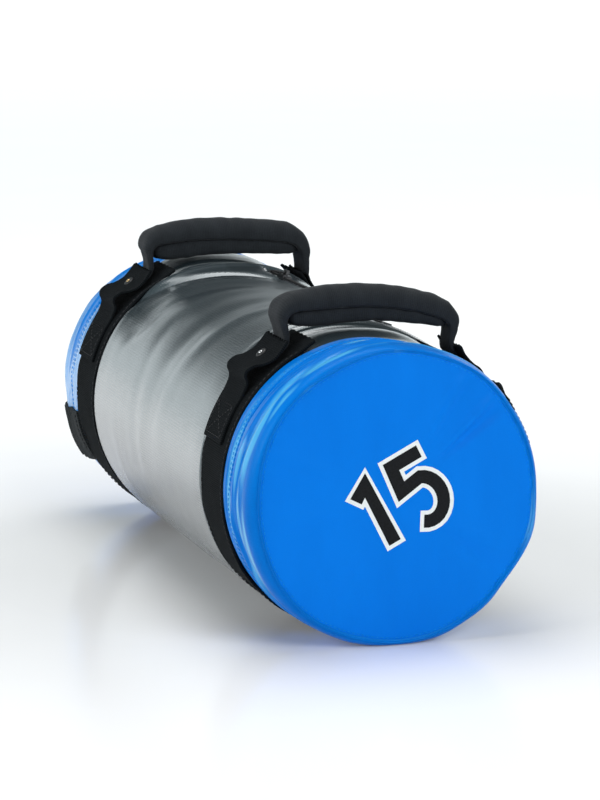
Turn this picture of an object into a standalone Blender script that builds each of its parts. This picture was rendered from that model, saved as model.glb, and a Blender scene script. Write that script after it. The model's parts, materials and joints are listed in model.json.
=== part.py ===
"""Weighted fitness bag: a filled tube of coated fabric with end caps, strap rings and padded handles.

The bag lies along X with its numbered end towards +X, +Z is up and the floor is z = 0.
All lengths are metres. "near" is the +X end, "far" the -X end, "front" is -Y and "back" is +Y.
Angles round the bag are measured from its crown towards +Y.
"""
import bpy
import bmesh
from math import asin, cos, hypot, pi, radians, sin, sqrt
from mathutils import Matrix, Vector

# Overall size of the bag
BAG_RADIUS = 0.102
BAG_LENGTH = 0.490
FLOOR_PRESS = 0.0025
CROWN_DIP = 0.0035
CROWN_DIP_HALF_ANGLE = radians(40)
ROLL = radians(3.5)

# Clearances
GAP = 0.0003
CUT_OVERRUN = 0.002

# Cloth and filling
SHELL_CLOTH = 0.0012
CAP_CLOTH = 0.0012
DISC_CLOTH = 0.0010
LINER_CLOTH = 0.0008
LINER_DEPTH = 0.0040
LINER_END_SPACE = 0.0100
LINER_END_SHARE = 0.5
NECK_RADIUS = 0.0120
NECK_LENGTH = 0.0080
TIE_WIDTH = 0.0030
TIE_THICKNESS = 0.0015
END_PAD = 0.0080
HEM_WIDTH = 0.0050
RIM_ROUND = 0.0020
DISC_CROWN = 0.0025
DISC_RING_SHARES = (0.8, 0.5, 0.2)
CAP_WIDTH = 0.0532

# Webbing rings
BASE_WEBBING = 0.050
BASE_WEBBING_THICKNESS = 0.0020
STRAP_GAP_HALF_ANGLE = radians(26)

# Root webbing, which carries a handle on its ring
ROOT_WEBBING = 0.038
ROOT_WEBBING_THICKNESS = 0.0018
ROOT_INNER_ANGLE = radians(33)
ROOT_TAIL_ANGLE = radians(77.5)
FOLD_ANGLE = radians(51)
FOLD_HALF_ANGLE = radians(5.5)
FOLD_HEIGHT = 0.0075
RIVET_ANGLE = radians(41)
RIVET_SHANK = 0.0030
RIVET_HEAD = 0.0085
RIVET_DOME = 0.0020

# Handles
LEG_OFFSET = 0.0610
LEG_WEBBING = 0.0350
LEG_APEX = 0.0050
LEG_SPREAD_HEIGHT = 0.0100
LEG_TIP_ANGLES = (-radians(80), -radians(50), -radians(25), 0.0)
GRIP_RISE = 0.0140
GRIP_ARCH = 0.0030
GRIP_CORNER = 0.0145
GRIP_WIDTH = 0.0280
GRIP_HEIGHT = 0.0250
GRIP_WEBBING = 0.0180
COVER_CLOTH = 0.0016
COVER_LEG_WIDTH = 0.0400
COVER_LEG_THICKNESS = 0.0056
COVER_CORNER_SHARE = 0.85
FOAM_CORNER_SHARE = 0.8
COVER_SWELL_POWER = 1.2
WEBBING_DRAW_IN_RATE = 1.6

# Side loops on the caps
NEAR_LOOP_ANGLE = radians(59.5)
FAR_LOOP_ANGLE = radians(-112)
LOOP_HALF_ANGLE = radians(11.5)
LOOP_WEBBING_THICKNESS = 0.0020
LOOP_RISE = 0.0090
LOOP_SEWN_WIDTH = 0.0080
LOOP_ROUND_POWER = 0.8

# Zipper
ZIP_ANGLE = radians(20)
ZIP_END_SPACE = 0.0118
ZIP_SLOT = 0.0080
TAPE_WIDTH = 0.0120
TAPE_THICKNESS = 0.0008
TAPE_OVERRUN = 0.0030
CHAIN_WIDTH = 0.0044
CHAIN_HEIGHT = 0.0020
STOP_LENGTH = 0.0040
STOP_WIDTH = 0.0060
STOP_HEIGHT = 0.0028
SLIDER_LENGTH = 0.0120
SLIDER_WIDTH = 0.0070
SLIDER_ROOF = 0.0012
EYE_LENGTH = 0.0070
EYE_WIDTH = 0.0020
EYE_HEIGHT = 0.0046
EYE_BORE = 0.0026
PULLER_WIRE = 0.0015
PULLER_LENGTH = 0.0230
PULLER_WIDTH = 0.0060
PULLER_END_SPACE = 0.0030

# Steps round the bag and along curves
RING_STEPS = 48
LEAST_STEP_SHARE = 0.125
SLEEVE_STEPS = 3
LOOP_STEPS = 12
ARCH_STEPS = 8
CORNER_STEPS = 5
BORE_SIDES = 12
TIE_SIDES = 16

# Derived places
AXIS_HEIGHT = BAG_RADIUS - FLOOR_PRESS
HALF_LENGTH = BAG_LENGTH / 2
STRAP_OUTER_X = HALF_LENGTH - CAP_WIDTH
STRAP_INNER_X = STRAP_OUTER_X - BASE_WEBBING
STRAP_CENTRE_X = STRAP_OUTER_X - BASE_WEBBING / 2
GROOVE_DEPTH = BASE_WEBBING_THICKNESS + GAP
SLEEVE_START_X = STRAP_OUTER_X + 2 * GAP
ROOT_OUTER = GAP + ROOT_WEBBING_THICKNESS
HANDLE_SHIFT_X = (ROOT_WEBBING - BASE_WEBBING) / 2
DISC_FACE_X = HALF_LENGTH - CAP_CLOTH - GAP
PAD_FACE_X = DISC_FACE_X - DISC_CLOTH - GAP
PAD_BACK_X = PAD_FACE_X - END_PAD
ZIP_LENGTH = 2 * (STRAP_INNER_X - ZIP_END_SPACE)
SLIDER_PARK = PULLER_LENGTH + PULLER_END_SPACE

MODEL = bpy.data.collections.new("fitness_bag")
CUTTERS = bpy.data.collections.new("cutters")


def clear_scene():
    """Remove whatever the file holds and link the two collections."""
    for item in list(bpy.data.objects):
        bpy.data.objects.remove(item, do_unlink=True)
    for collection in (MODEL, CUTTERS):
        bpy.context.scene.collection.children.link(collection)


def material(name, colour, roughness, metallic=0.0):
    """A plain surface of one colour."""
    made = bpy.data.materials.new(name)
    made.use_nodes = True
    shader = made.node_tree.nodes["Principled BSDF"]
    shader.inputs["Base Color"].default_value = (*colour, 1.0)
    shader.inputs["Roughness"].default_value = roughness
    shader.inputs["Metallic"].default_value = metallic
    made.diffuse_color = (*colour, 1.0)
    return made


def crown_dip(x, angle):
    """How far the slack cloth sinks between the strap ends; it fades out towards the stiff rims."""
    turn = abs((angle - ROLL + pi) % (2 * pi) - pi)
    if turn >= CROWN_DIP_HALF_ANGLE:
        return 0.0
    fade = min(1.0, (HALF_LENGTH - abs(x)) / (HALF_LENGTH - STRAP_OUTER_X))
    return CROWN_DIP * max(0.0, fade) * cos(turn / CROWN_DIP_HALF_ANGLE * pi / 2) ** 2


def ring_point(x, angle, height=0.0, share=1.0):
    """A point of the bag's outside at this angle, or of a layer this height above it.

    A layer under the surface has a negative height. The floor presses every layer flat.
    A share below one draws the outline in towards the bag's axis.
    """
    radius = BAG_RADIUS + height - crown_dip(x, angle)
    y = radius * sin(angle)
    z = max(AXIS_HEIGHT + radius * cos(angle), max(0.0, -height))
    return Vector((x, y * share, AXIS_HEIGHT + (z - AXIS_HEIGHT) * share))


def frame_point(x, side, height):
    """A point of a strap ring's plane, given across the bag and above its axis, rolled with the bag."""
    return Vector((x, side * cos(ROLL) + height * sin(ROLL),
                   AXIS_HEIGHT - side * sin(ROLL) + height * cos(ROLL)))


def steps(start, end, count):
    """Evenly spaced values from start to end, both included."""
    return [start + (end - start) * index / count for index in range(count + 1)]


def add_object(name, mesh, surface, smooth_below=radians(40)):
    """Link a mesh as one named sub-part, shaded smooth apart from its edges."""
    mesh.materials.append(surface)
    mesh.shade_smooth()
    mesh.set_sharp_from_angle(angle=smooth_below)
    made = bpy.data.objects.new(name, mesh)
    MODEL.objects.link(made)
    return made


def grid_faces(rows, closed_rings):
    """Quads between neighbouring rows of vertices, each row an open line or a ring."""
    for lower, upper in zip(rows, rows[1:]):
        count = len(lower)
        for index in range(count if closed_rings else count - 1):
            after = (index + 1) % count
            yield lower[index], lower[after], upper[after], upper[index]


def outward_area(face):
    """How much of a face looks away from the bag's axis, negative where it looks inwards."""
    middle = face.calc_center_median()
    outward = Vector((0.0, middle.y, middle.z - AXIS_HEIGHT))
    return face.calc_area() * face.normal.dot(outward)


def sheet(name, rows, thickness, surface, rings=False, close_first=False):
    """Cloth or webbing: a surface through rows of points, thickened towards the bag's axis."""
    work = bmesh.new()
    lines = [[work.verts.new(point) for point in row] for row in rows]
    for corners in grid_faces(lines, rings):
        work.faces.new(corners)
    if close_first:
        work.faces.new(lines[0])
    bmesh.ops.recalc_face_normals(work, faces=work.faces)
    if sum(outward_area(face) for face in work.faces) < 0.0:
        bmesh.ops.reverse_faces(work, faces=work.faces)
    mesh = bpy.data.meshes.new(name)
    work.to_mesh(mesh)
    work.free()
    made = add_object(name, mesh, surface)
    shell = made.modifiers.new("thickness", 'SOLIDIFY')
    shell.thickness = thickness
    shell.offset = -1.0
    shell.use_even_offset = True
    return made


def finish_solid(work, name, surface):
    """Turn a closed bmesh into a sub-part with its faces pointing out."""
    bmesh.ops.recalc_face_normals(work, faces=work.faces)
    mesh = bpy.data.meshes.new(name)
    work.to_mesh(mesh)
    work.free()
    return add_object(name, mesh, surface)


def loft(name, rings, surface):
    """A solid through a row of rings, closed by a flat face at each end."""
    work = bmesh.new()
    lines = [[work.verts.new(point) for point in ring] for ring in rings]
    for corners in grid_faces(lines, True):
        work.faces.new(corners)
    work.faces.new(lines[0])
    work.faces.new(lines[-1])
    return finish_solid(work, name, surface)


def sleeve_loft(name, outer_rings, inner_rings, surface):
    """A tube wall between an outer and an inner row of rings, open at both ends."""
    work = bmesh.new()
    outer = [[work.verts.new(point) for point in ring] for ring in outer_rings]
    inner = [[work.verts.new(point) for point in ring] for ring in inner_rings]
    for corners in grid_faces(outer + inner[::-1] + outer[:1], True):
        work.faces.new(corners)
    return finish_solid(work, name, surface)


def cutter_object(name, work):
    """Keep a closed bmesh as a hidden cutting tool."""
    bmesh.ops.recalc_face_normals(work, faces=work.faces)
    mesh = bpy.data.meshes.new(name)
    work.to_mesh(mesh)
    work.free()
    tool = bpy.data.objects.new(name, mesh)
    tool.hide_render = True
    tool.display_type = 'WIRE'
    CUTTERS.objects.link(tool)
    return tool


def box_mesh(size):
    """A bmesh box of this size about its own centre."""
    work = bmesh.new()
    bmesh.ops.create_cube(work, size=1.0)
    bmesh.ops.scale(work, vec=size, verts=work.verts)
    return work


def round_mesh(radius, depth, top_radius=None):
    """A bmesh cylinder, or a cone, along Z about its own centre."""
    work = bmesh.new()
    bmesh.ops.create_cone(work, cap_ends=True, segments=BORE_SIDES, radius1=radius,
                          radius2=radius if top_radius is None else top_radius, depth=depth)
    return work


def cut(target, tool, operation='DIFFERENCE'):
    """Cut the target with a tool, or join the tool to it."""
    boolean = target.modifiers.new(tool.name, 'BOOLEAN')
    boolean.operation = operation
    boolean.solver = 'EXACT'
    boolean.object = tool


def surface_matrix(x, angle, height):
    """A frame on the bag: its X along the bag, its Z straight out of the surface."""
    out = Vector((0.0, sin(angle), cos(angle)))
    along = Vector((1.0, 0.0, 0.0))
    across = out.cross(along)
    turn = Matrix((along, across, out)).transposed().to_4x4()
    return Matrix.Translation(ring_point(x, angle, height)) @ turn


def round_the_bag(count=RING_STEPS):
    """Angles of one full turn."""
    return [2 * pi * index / count for index in range(count)]


def arc_of_bag(start, end):
    """Angles from start to end on the same steps as the full turn, so that neighbouring layers nest."""
    pitch = 2 * pi / RING_STEPS
    inside = [pitch * index for index in range(int(start // pitch) + 1, int(end // pitch) + 1)]
    inside = [angle for angle in inside if min(angle - start, end - angle) > pitch * LEAST_STEP_SHARE]
    return [start] + inside + [end]


def outline(x, height=0.0, share=1.0):
    """The bag's pressed round outline at this place along it."""
    return [ring_point(x, angle, height, share) for angle in round_the_bag()]


def build_body(cloth):
    """The grey tube, drawn in under both strap rings, with a slot for the zipper."""
    stations = [(-STRAP_OUTER_X, GROOVE_DEPTH), (-STRAP_INNER_X + GAP, GROOVE_DEPTH)]
    stations += [(-STRAP_INNER_X + GROOVE_DEPTH, 0.0), (0.0, 0.0)]
    stations += [(-x, depth) for x, depth in stations[-2::-1]]
    rows = [outline(x, -depth) for x, depth in stations]
    shell = sheet("body_shell", rows, SHELL_CLOTH, cloth, rings=True)
    depth = SHELL_CLOTH + CUT_OVERRUN
    work = box_mesh((ZIP_LENGTH, ZIP_SLOT, 2 * depth))
    slot = cutter_object("zipper_slot", work)
    slot.matrix_world = surface_matrix(0.0, ZIP_ANGLE, 0.0)
    cut(shell, slot)


def neck_ring(x, radius, count):
    """A round outline about the bag's axis."""
    return [Vector((x, radius * sin(angle), AXIS_HEIGHT + radius * cos(angle)))
            for angle in round_the_bag(count)]


def build_inside(liner_cloth, granules, foam, plastic):
    """The inner bag with its tied neck, its filling, and the stiff pad behind each end."""
    far_end = -PAD_BACK_X + GAP
    near_end = PAD_BACK_X - LINER_END_SPACE
    wall = [outline(x, -LINER_DEPTH) for x in (far_end, -STRAP_OUTER_X, STRAP_OUTER_X, near_end)]
    far_wall = [outline(far_end, -LINER_DEPTH, LINER_END_SHARE)]
    neck = [neck_ring(x, NECK_RADIUS, RING_STEPS) for x in (near_end, near_end + NECK_LENGTH)]
    sheet("inner_liner", far_wall + wall + neck, LINER_CLOTH, liner_cloth, rings=True, close_first=True)
    tie_start = near_end + (NECK_LENGTH - TIE_WIDTH) / 2
    tie_ends = (tie_start, tie_start + TIE_WIDTH)
    inner = [neck_ring(x, NECK_RADIUS + GAP, TIE_SIDES) for x in tie_ends]
    outer = [neck_ring(x, NECK_RADIUS + GAP + TIE_THICKNESS, TIE_SIDES) for x in tie_ends]
    sleeve_loft("liner_tie", outer, inner, plastic)
    fill_depth = LINER_DEPTH + LINER_CLOTH + GAP
    start = far_end + LINER_CLOTH + GAP
    end = near_end - LINER_CLOTH - GAP
    fill_stations = (start, -STRAP_OUTER_X, STRAP_OUTER_X, end)
    loft("filling", [outline(x, -fill_depth) for x in fill_stations], granules)
    for end_name, side in (("near", 1), ("far", -1)):
        pad = [outline(side * x, -CAP_CLOTH - GAP) for x in (PAD_BACK_X, PAD_FACE_X)]
        loft(f"{end_name}_end_pad", pad, foam)


def build_cap(end_name, side, cloth, disc_cloth):
    """A cap: the sleeve with its hem turned over the rim, and the round end panel under the hem."""
    wall_end = HALF_LENGTH - RIM_ROUND
    profile = [(x, 0.0) for x in steps(SLEEVE_START_X, wall_end, SLEEVE_STEPS)]
    for turn in (pi / 6, pi / 3, pi / 2):
        profile.append((wall_end + RIM_ROUND * sin(turn), RIM_ROUND * (1 - cos(turn))))
    profile.append((HALF_LENGTH, HEM_WIDTH))
    rows = [outline(side * x, -depth) for x, depth in profile]
    sheet(f"{end_name}_cap_sleeve", rows, CAP_CLOTH, cloth, rings=True)
    rim = 1 - (CAP_CLOTH + GAP) / BAG_RADIUS
    hem = 1 - (HEM_WIDTH + GAP) / BAG_RADIUS
    face = [(rim, 0.0), (hem, 0.0)]
    face += [(hem * share, DISC_CROWN * (1 - share ** 2)) for share in DISC_RING_SHARES]
    front = [outline(side * (DISC_FACE_X + rise), 0.0, share) for share, rise in face]
    back = [outline(side * (DISC_FACE_X + rise - DISC_CLOTH), 0.0, share) for share, rise in face]
    loft(f"{end_name}_end_disc", front[::-1] + back, disc_cloth)


def build_base_strap(end_name, side, webbing):
    """The wide webbing ring, open at the crown, set flush into the body's groove."""
    centre = side * STRAP_CENTRE_X
    angles = arc_of_bag(ROLL + STRAP_GAP_HALF_ANGLE, ROLL + 2 * pi - STRAP_GAP_HALF_ANGLE)
    rows = [[ring_point(centre + offset, angle) for angle in angles]
            for offset in (-BASE_WEBBING / 2 + GAP, BASE_WEBBING / 2 - GAP)]
    return sheet(f"{end_name}_base_strap", rows, BASE_WEBBING_THICKNESS, webbing)


def root_height(turn):
    """Height of the root webbing's outside at this angle from the handle's middle plane."""
    beyond = abs(turn - FOLD_ANGLE) / FOLD_HALF_ANGLE
    if beyond >= 1.0:
        return ROOT_OUTER
    return ROOT_OUTER + FOLD_HEIGHT * cos(beyond * pi / 2) ** 2


def build_root(end_name, side, half_name, half, strap, webbing, steel):
    """One handle root: webbing sewn on the ring, with its slack fold and its rivet."""
    centre = side * STRAP_CENTRE_X + HANDLE_SHIFT_X
    turns = steps(ROOT_INNER_ANGLE, FOLD_ANGLE - FOLD_HALF_ANGLE, 2)
    turns += steps(FOLD_ANGLE - FOLD_HALF_ANGLE, FOLD_ANGLE + FOLD_HALF_ANGLE, 8)[1:]
    turns += steps(FOLD_ANGLE + FOLD_HALF_ANGLE, ROOT_TAIL_ANGLE, 3)[1:]
    rows = [[ring_point(centre + offset, ROLL + half * turn, root_height(turn)) for turn in turns]
            for offset in (-ROOT_WEBBING / 2, ROOT_WEBBING / 2)]
    root = sheet(f"{end_name}_{half_name}_root_webbing", rows, ROOT_WEBBING_THICKNESS, webbing)
    angle = ROLL + half * RIVET_ANGLE
    shank_end = -BASE_WEBBING_THICKNESS
    place = surface_matrix(centre, angle, (ROOT_OUTER + shank_end) / 2)
    bore = cutter_object(f"{end_name}_{half_name}_rivet_bore",
                         round_mesh(RIVET_SHANK / 2 + GAP, ROOT_OUTER - shank_end + 2 * CUT_OVERRUN))
    bore.matrix_world = place
    cut(root, bore)
    cut(strap, bore)
    build_rivet(f"{end_name}_{half_name}_rivet", centre, angle, shank_end, steel)


def build_rivet(name, x, angle, shank_end, steel):
    """A turned rivet: a domed head on a plain shank."""
    head_seat = ROOT_OUTER + GAP - shank_end
    profile = [(0.0, head_seat + RIVET_DOME)]
    for turn in steps(0.0, pi / 2, 3)[1:]:
        profile.append((RIVET_HEAD / 2 * sin(turn), head_seat + RIVET_DOME * cos(turn)))
    profile += [(RIVET_SHANK / 2, head_seat), (RIVET_SHANK / 2, 0.0), (0.0, 0.0)]
    mesh = bpy.data.meshes.new(name)
    mesh.from_pydata([(radius, 0.0, height) for radius, height in profile],
                     [(index, index + 1) for index in range(len(profile) - 1)], [])
    made = add_object(name, mesh, steel)
    turned = made.modifiers.new("turned", 'SCREW')
    turned.steps = BORE_SIDES
    turned.render_steps = BORE_SIDES
    turned.use_merge_vertices = True
    turned.merge_threshold = GAP / 10
    made.matrix_world = surface_matrix(x, angle, shank_end)


def hinge_height():
    """Height of a handle's hinge line above the bag's axis: its leg tips just clear the roots."""
    root_top = BAG_RADIUS + ROOT_OUTER
    inner_side = LEG_OFFSET - ROOT_WEBBING_THICKNESS / 2
    steepness = asin(inner_side / root_top)
    return sqrt(root_top ** 2 - inner_side ** 2) + LEG_APEX + GAP / cos(steepness)


def grip_path():
    """The middle line of a handle's grip: up a leg, round the corner, over and down again.

    Each point has its place across and above the axis, and its share of the way from leg to grip.
    """
    base = BAG_RADIUS + GRIP_RISE
    corner_side = LEG_OFFSET - GRIP_CORNER
    corner_height = base - GRIP_CORNER
    cover_start = hinge_height() + LEG_SPREAD_HEIGHT
    half = [(LEG_OFFSET, cover_start + GAP, 0.0)]
    for turn in steps(0.0, pi / 2, CORNER_STEPS):
        share = (turn / (pi / 2)) ** COVER_SWELL_POWER
        half.append((corner_side + GRIP_CORNER * cos(turn), corner_height + GRIP_CORNER * sin(turn), share))
    for side in steps(corner_side, 0.0, ARCH_STEPS // 2)[1:]:
        half.append((side, base + GRIP_ARCH * cos(side / corner_side * pi / 2), 1.0))
    left = [(-side, height, share) for side, height, share in half]
    return left + half[-2::-1]


def path_normals(path):
    """The outward direction at each point of a path in the ring's plane."""
    normals = []
    for index in range(len(path)):
        before = path[max(0, index - 1)]
        after = path[min(len(path) - 1, index + 1)]
        run = (after[0] - before[0], after[1] - before[1])
        length = hypot(*run)
        normals.append((-run[1] / length, run[0] / length))
    return normals


def blend(start, end, share):
    """A size part of the way from start to end."""
    return start + (end - start) * share


def section_ring(x, place, normal, half_width, half_thickness, corner):
    """A rounded rectangle across the path: its width along the bag, its thickness along the normal."""
    corner = min(corner, half_width, half_thickness)
    points = []
    for quarter in range(4):
        sign_x = 1 if quarter in (0, 3) else -1
        sign_n = 1 if quarter in (0, 1) else -1
        for turn in steps(0.0, pi / 2, 2):
            around = turn + quarter * pi / 2
            across = sign_x * (half_width - corner) + corner * cos(around)
            out = sign_n * (half_thickness - corner) + corner * sin(around)
            points.append(frame_point(x + across, place[0] + normal[0] * out, place[1] + normal[1] * out))
    return points


def cover_rings(x, inset):
    """Rings of the padded cover's outside, or of the space this far inside it."""
    path = grip_path()
    rings = []
    for place, normal in zip(path, path_normals(path)):
        share = place[2]
        half_width = blend(COVER_LEG_WIDTH, GRIP_WIDTH, share) / 2 - inset
        half_thickness = blend(COVER_LEG_THICKNESS, GRIP_HEIGHT, share) / 2 - inset
        corner = half_thickness * COVER_CORNER_SHARE
        rings.append(section_ring(x, place, normal, half_width, half_thickness, corner))
    return rings


def build_handle(end_name, side, webbing, foam, cover_cloth):
    """A handle: webbing from root to root, a foam roll on its straight part and a padded cover."""
    x = side * STRAP_CENTRE_X + HANDLE_SHIFT_X
    sleeve_loft(f"{end_name}_grip_cover", cover_rings(x, 0.0), cover_rings(x, COVER_CLOTH), cover_cloth)
    path = grip_path()
    normals = path_normals(path)
    rings = webbing_leg(x, -1)
    for place, normal in zip(path, normals):
        half_width = blend(LEG_WEBBING, GRIP_WEBBING, min(1.0, WEBBING_DRAW_IN_RATE * place[2])) / 2
        rings.append(section_ring(x, place, normal, half_width, ROOT_WEBBING_THICKNESS / 2, 0.0))
    rings += webbing_leg(x, 1)[::-1]
    loft(f"{end_name}_handle_webbing", rings, webbing)
    outer = []
    inner = []
    for place, normal in zip(path, normals):
        if place[2] < 1.0:
            continue
        half_width = GRIP_WIDTH / 2 - COVER_CLOTH - GAP
        half_height = GRIP_HEIGHT / 2 - COVER_CLOTH - GAP
        corner = half_height * FOAM_CORNER_SHARE
        outer.append(section_ring(x, place, normal, half_width, half_height, corner))
        inner.append(section_ring(x, place, normal, GRIP_WEBBING / 2 + GAP,
                                  ROOT_WEBBING_THICKNESS / 2 + GAP, 0.0))
    sleeve_loft(f"{end_name}_grip_foam", outer, inner, foam)


def webbing_leg(x, half):
    """Rings of the bare webbing below the cover: a rounded tip about the hinge line, then a spread."""
    hinge = hinge_height()
    levels = []
    for turn in LEG_TIP_ANGLES:
        levels.append((hinge + LEG_APEX * sin(turn), LEG_APEX * cos(turn)))
    levels.append((hinge + LEG_SPREAD_HEIGHT, LEG_WEBBING / 2))
    out = (half, 0.0)
    return [section_ring(x, (half * LEG_OFFSET, height), out, half_width, ROOT_WEBBING_THICKNESS / 2, 0.0)
            for height, half_width in levels]


def build_side_loop(end_name, side, half, webbing):
    """A short webbing loop along the bag, sewn to the cap at both its ends."""
    start = SLEEVE_START_X + GAP
    end = HALF_LENGTH - RIM_ROUND - GAP
    middle = ROLL + (NEAR_LOOP_ANGLE if half > 0 else FAR_LOOP_ANGLE)
    flat = GAP + LOOP_WEBBING_THICKNESS
    profile = [(start, flat)]
    for share in steps(0.0, 1.0, LOOP_STEPS):
        x = blend(start + LOOP_SEWN_WIDTH, end - LOOP_SEWN_WIDTH, share)
        profile.append((x, flat + (LOOP_RISE - flat) * sin(share * pi) ** LOOP_ROUND_POWER))
    profile.append((end, flat))
    rows = [[ring_point(side * along, angle, height) for angle in
             steps(middle - LOOP_HALF_ANGLE, middle + LOOP_HALF_ANGLE, 4)] for along, height in profile]
    sheet(f"{end_name}_side_loop", rows, LOOP_WEBBING_THICKNESS, webbing)


def build_zipper(tape_cloth, plastic, steel, cord):
    """The zipper along the body: two tapes, the closed chain, its stops, the slider and its puller."""
    half_tape_angle = TAPE_WIDTH / BAG_RADIUS
    near_edge = GAP / BAG_RADIUS
    tape_top = SHELL_CLOTH + GAP
    for half_name, half in (("front", -1), ("back", 1)):
        turns = steps(near_edge, half_tape_angle, 2)
        rows = [[ring_point(x, ZIP_ANGLE + half * turn, -tape_top) for turn in turns]
                for x in (-ZIP_LENGTH / 2 - TAPE_OVERRUN, ZIP_LENGTH / 2 + TAPE_OVERRUN)]
        sheet(f"zipper_tape_{half_name}", rows, TAPE_THICKNESS, tape_cloth)
    chain_bottom = -tape_top + GAP
    chain_top = chain_bottom + CHAIN_HEIGHT
    chain_half = ZIP_LENGTH / 2 - STOP_LENGTH - 2 * GAP
    work = box_mesh((2 * chain_half, CHAIN_WIDTH, CHAIN_HEIGHT))
    place = surface_matrix(0.0, ZIP_ANGLE, chain_bottom + CHAIN_HEIGHT / 2)
    place_solid("zipper_chain", work, plastic, place)
    for stop_name, way in (("near", 1), ("far", -1)):
        stop_x = way * (ZIP_LENGTH / 2 - GAP - STOP_LENGTH / 2)
        place_solid(f"zipper_{stop_name}_stop", box_mesh((STOP_LENGTH, STOP_WIDTH, STOP_HEIGHT)), steel,
                    surface_matrix(stop_x, ZIP_ANGLE, chain_bottom + STOP_HEIGHT / 2))
    build_slider(chain_bottom, chain_top, chain_half, steel, cord)


def place_solid(name, work, surface, matrix):
    """Make a sub-part of a closed bmesh and set it in place."""
    made = finish_solid(work, name, surface)
    made.matrix_world = matrix
    return made


def build_slider(chain_bottom, chain_top, chain_half, steel, cord):
    """The slider that straddles the chain, with an eye for its cord puller."""
    x = -chain_half + SLIDER_PARK
    height = chain_top + GAP + SLIDER_ROOF - chain_bottom
    place = surface_matrix(x, ZIP_ANGLE, chain_bottom)
    work = box_mesh((SLIDER_LENGTH, SLIDER_WIDTH, height))
    bmesh.ops.translate(work, vec=(0.0, 0.0, height / 2), verts=work.verts)
    slider = place_solid("zipper_slider", work, steel, place)
    channel = box_mesh((SLIDER_LENGTH + 2 * CUT_OVERRUN, CHAIN_WIDTH + 2 * GAP, 2 * (CHAIN_HEIGHT + GAP)))
    tool = cutter_object("slider_channel", channel)
    tool.matrix_world = place
    cut(slider, tool)
    eye = box_mesh((EYE_LENGTH, EYE_WIDTH, EYE_HEIGHT))
    bmesh.ops.translate(eye, vec=(0.0, 0.0, height - SLIDER_ROOF / 2 + EYE_HEIGHT / 2), verts=eye.verts)
    tool = cutter_object("slider_eye", eye)
    tool.matrix_world = place
    cut(slider, tool, 'UNION')
    pivot = height - SLIDER_ROOF / 2 + EYE_HEIGHT - EYE_BORE
    bore = round_mesh(EYE_BORE / 2, EYE_WIDTH + 2 * CUT_OVERRUN)
    bmesh.ops.rotate(bore, cent=(0.0, 0.0, 0.0), matrix=Matrix.Rotation(pi / 2, 3, 'X'), verts=bore.verts)
    bmesh.ops.translate(bore, vec=(0.0, 0.0, pivot), verts=bore.verts)
    tool = cutter_object("slider_eye_bore", bore)
    tool.matrix_world = place
    cut(slider, tool)
    hinge = place @ Matrix.Translation((0.0, 0.0, pivot))
    slope = asin((pivot - CHAIN_HEIGHT - PULLER_WIRE / 2 - GAP) / PULLER_LENGTH)
    build_puller(hinge, slope, cord)


def build_puller(hinge, slope, cord):
    """A closed loop of cord through the slider's eye, leaning down on the chain."""
    half = PULLER_WIDTH / 2
    end_round = half
    straight = PULLER_LENGTH - end_round
    points = [(0.0, -half), (0.0, half)]
    for turn in steps(0.0, pi, 6):
        points.append((-straight - end_round * sin(turn), half * cos(turn)))
    curve = bpy.data.curves.new("zipper_puller", 'CURVE')
    curve.dimensions = '3D'
    curve.bevel_depth = PULLER_WIRE / 2
    curve.bevel_resolution = 1
    line = curve.splines.new('POLY')
    line.points.add(len(points) - 1)
    for point, (along, across) in zip(line.points, points):
        point.co = (along * cos(slope), across, along * sin(slope), 1.0)
    line.use_cyclic_u = True
    curve.materials.append(cord)
    puller = bpy.data.objects.new("zipper_puller", curve)
    puller.matrix_world = hinge
    MODEL.objects.link(puller)


def main():
    """Build every sub-part of the bag."""
    clear_scene()
    grey_cloth = material("coated_cloth_grey", (0.30, 0.34, 0.36), 0.32)
    blue_cloth = material("coated_cloth_blue", (0.02, 0.32, 0.86), 0.28)
    disc_cloth = material("end_panel_blue", (0.01, 0.26, 0.78), 0.38)
    liner_cloth = material("liner_cloth", (0.70, 0.70, 0.66), 0.60)
    granules = material("granule_filling", (0.20, 0.18, 0.16), 0.90)
    foam = material("closed_cell_foam", (0.12, 0.12, 0.13), 0.85)
    webbing = material("black_webbing", (0.035, 0.038, 0.042), 0.75)
    cover_cloth = material("padded_cover", (0.030, 0.032, 0.036), 0.85)
    steel = material("plated_steel", (0.80, 0.78, 0.72), 0.30, 1.0)
    plastic = material("black_plastic", (0.02, 0.02, 0.02), 0.40)
    build_body(grey_cloth)
    build_inside(liner_cloth, granules, foam, plastic)
    for end_name, side in (("near", 1), ("far", -1)):
        build_cap(end_name, side, blue_cloth, disc_cloth)
        strap = build_base_strap(end_name, side, webbing)
        for half_name, half in (("front", -1), ("back", 1)):
            build_root(end_name, side, half_name, half, strap, webbing, steel)
        build_handle(end_name, side, webbing, foam, cover_cloth)
        build_side_loop(end_name, side, side, webbing)
    build_zipper(webbing, plastic, steel, plastic)


main()
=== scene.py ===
"""Weighted fitness bag: the cloth, webbing, padding and stitching that dress its solid model.

The bag lies along X with its numbered end towards +X; +Z is up and the floor is z = 0.
"near" is the +X end, "far" the -X end, "front" is -Y and "back" is +Y. Lengths are metres.
Angles round the bag are measured from its crown towards +Y.
"""

import json
import logging
from dataclasses import dataclass
from enum import Enum
from math import cos, hypot, pi, radians, sin
from typing import Optional, Sequence

import bmesh
import bpy
import numpy as np
from mathutils import Matrix, Vector

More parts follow.
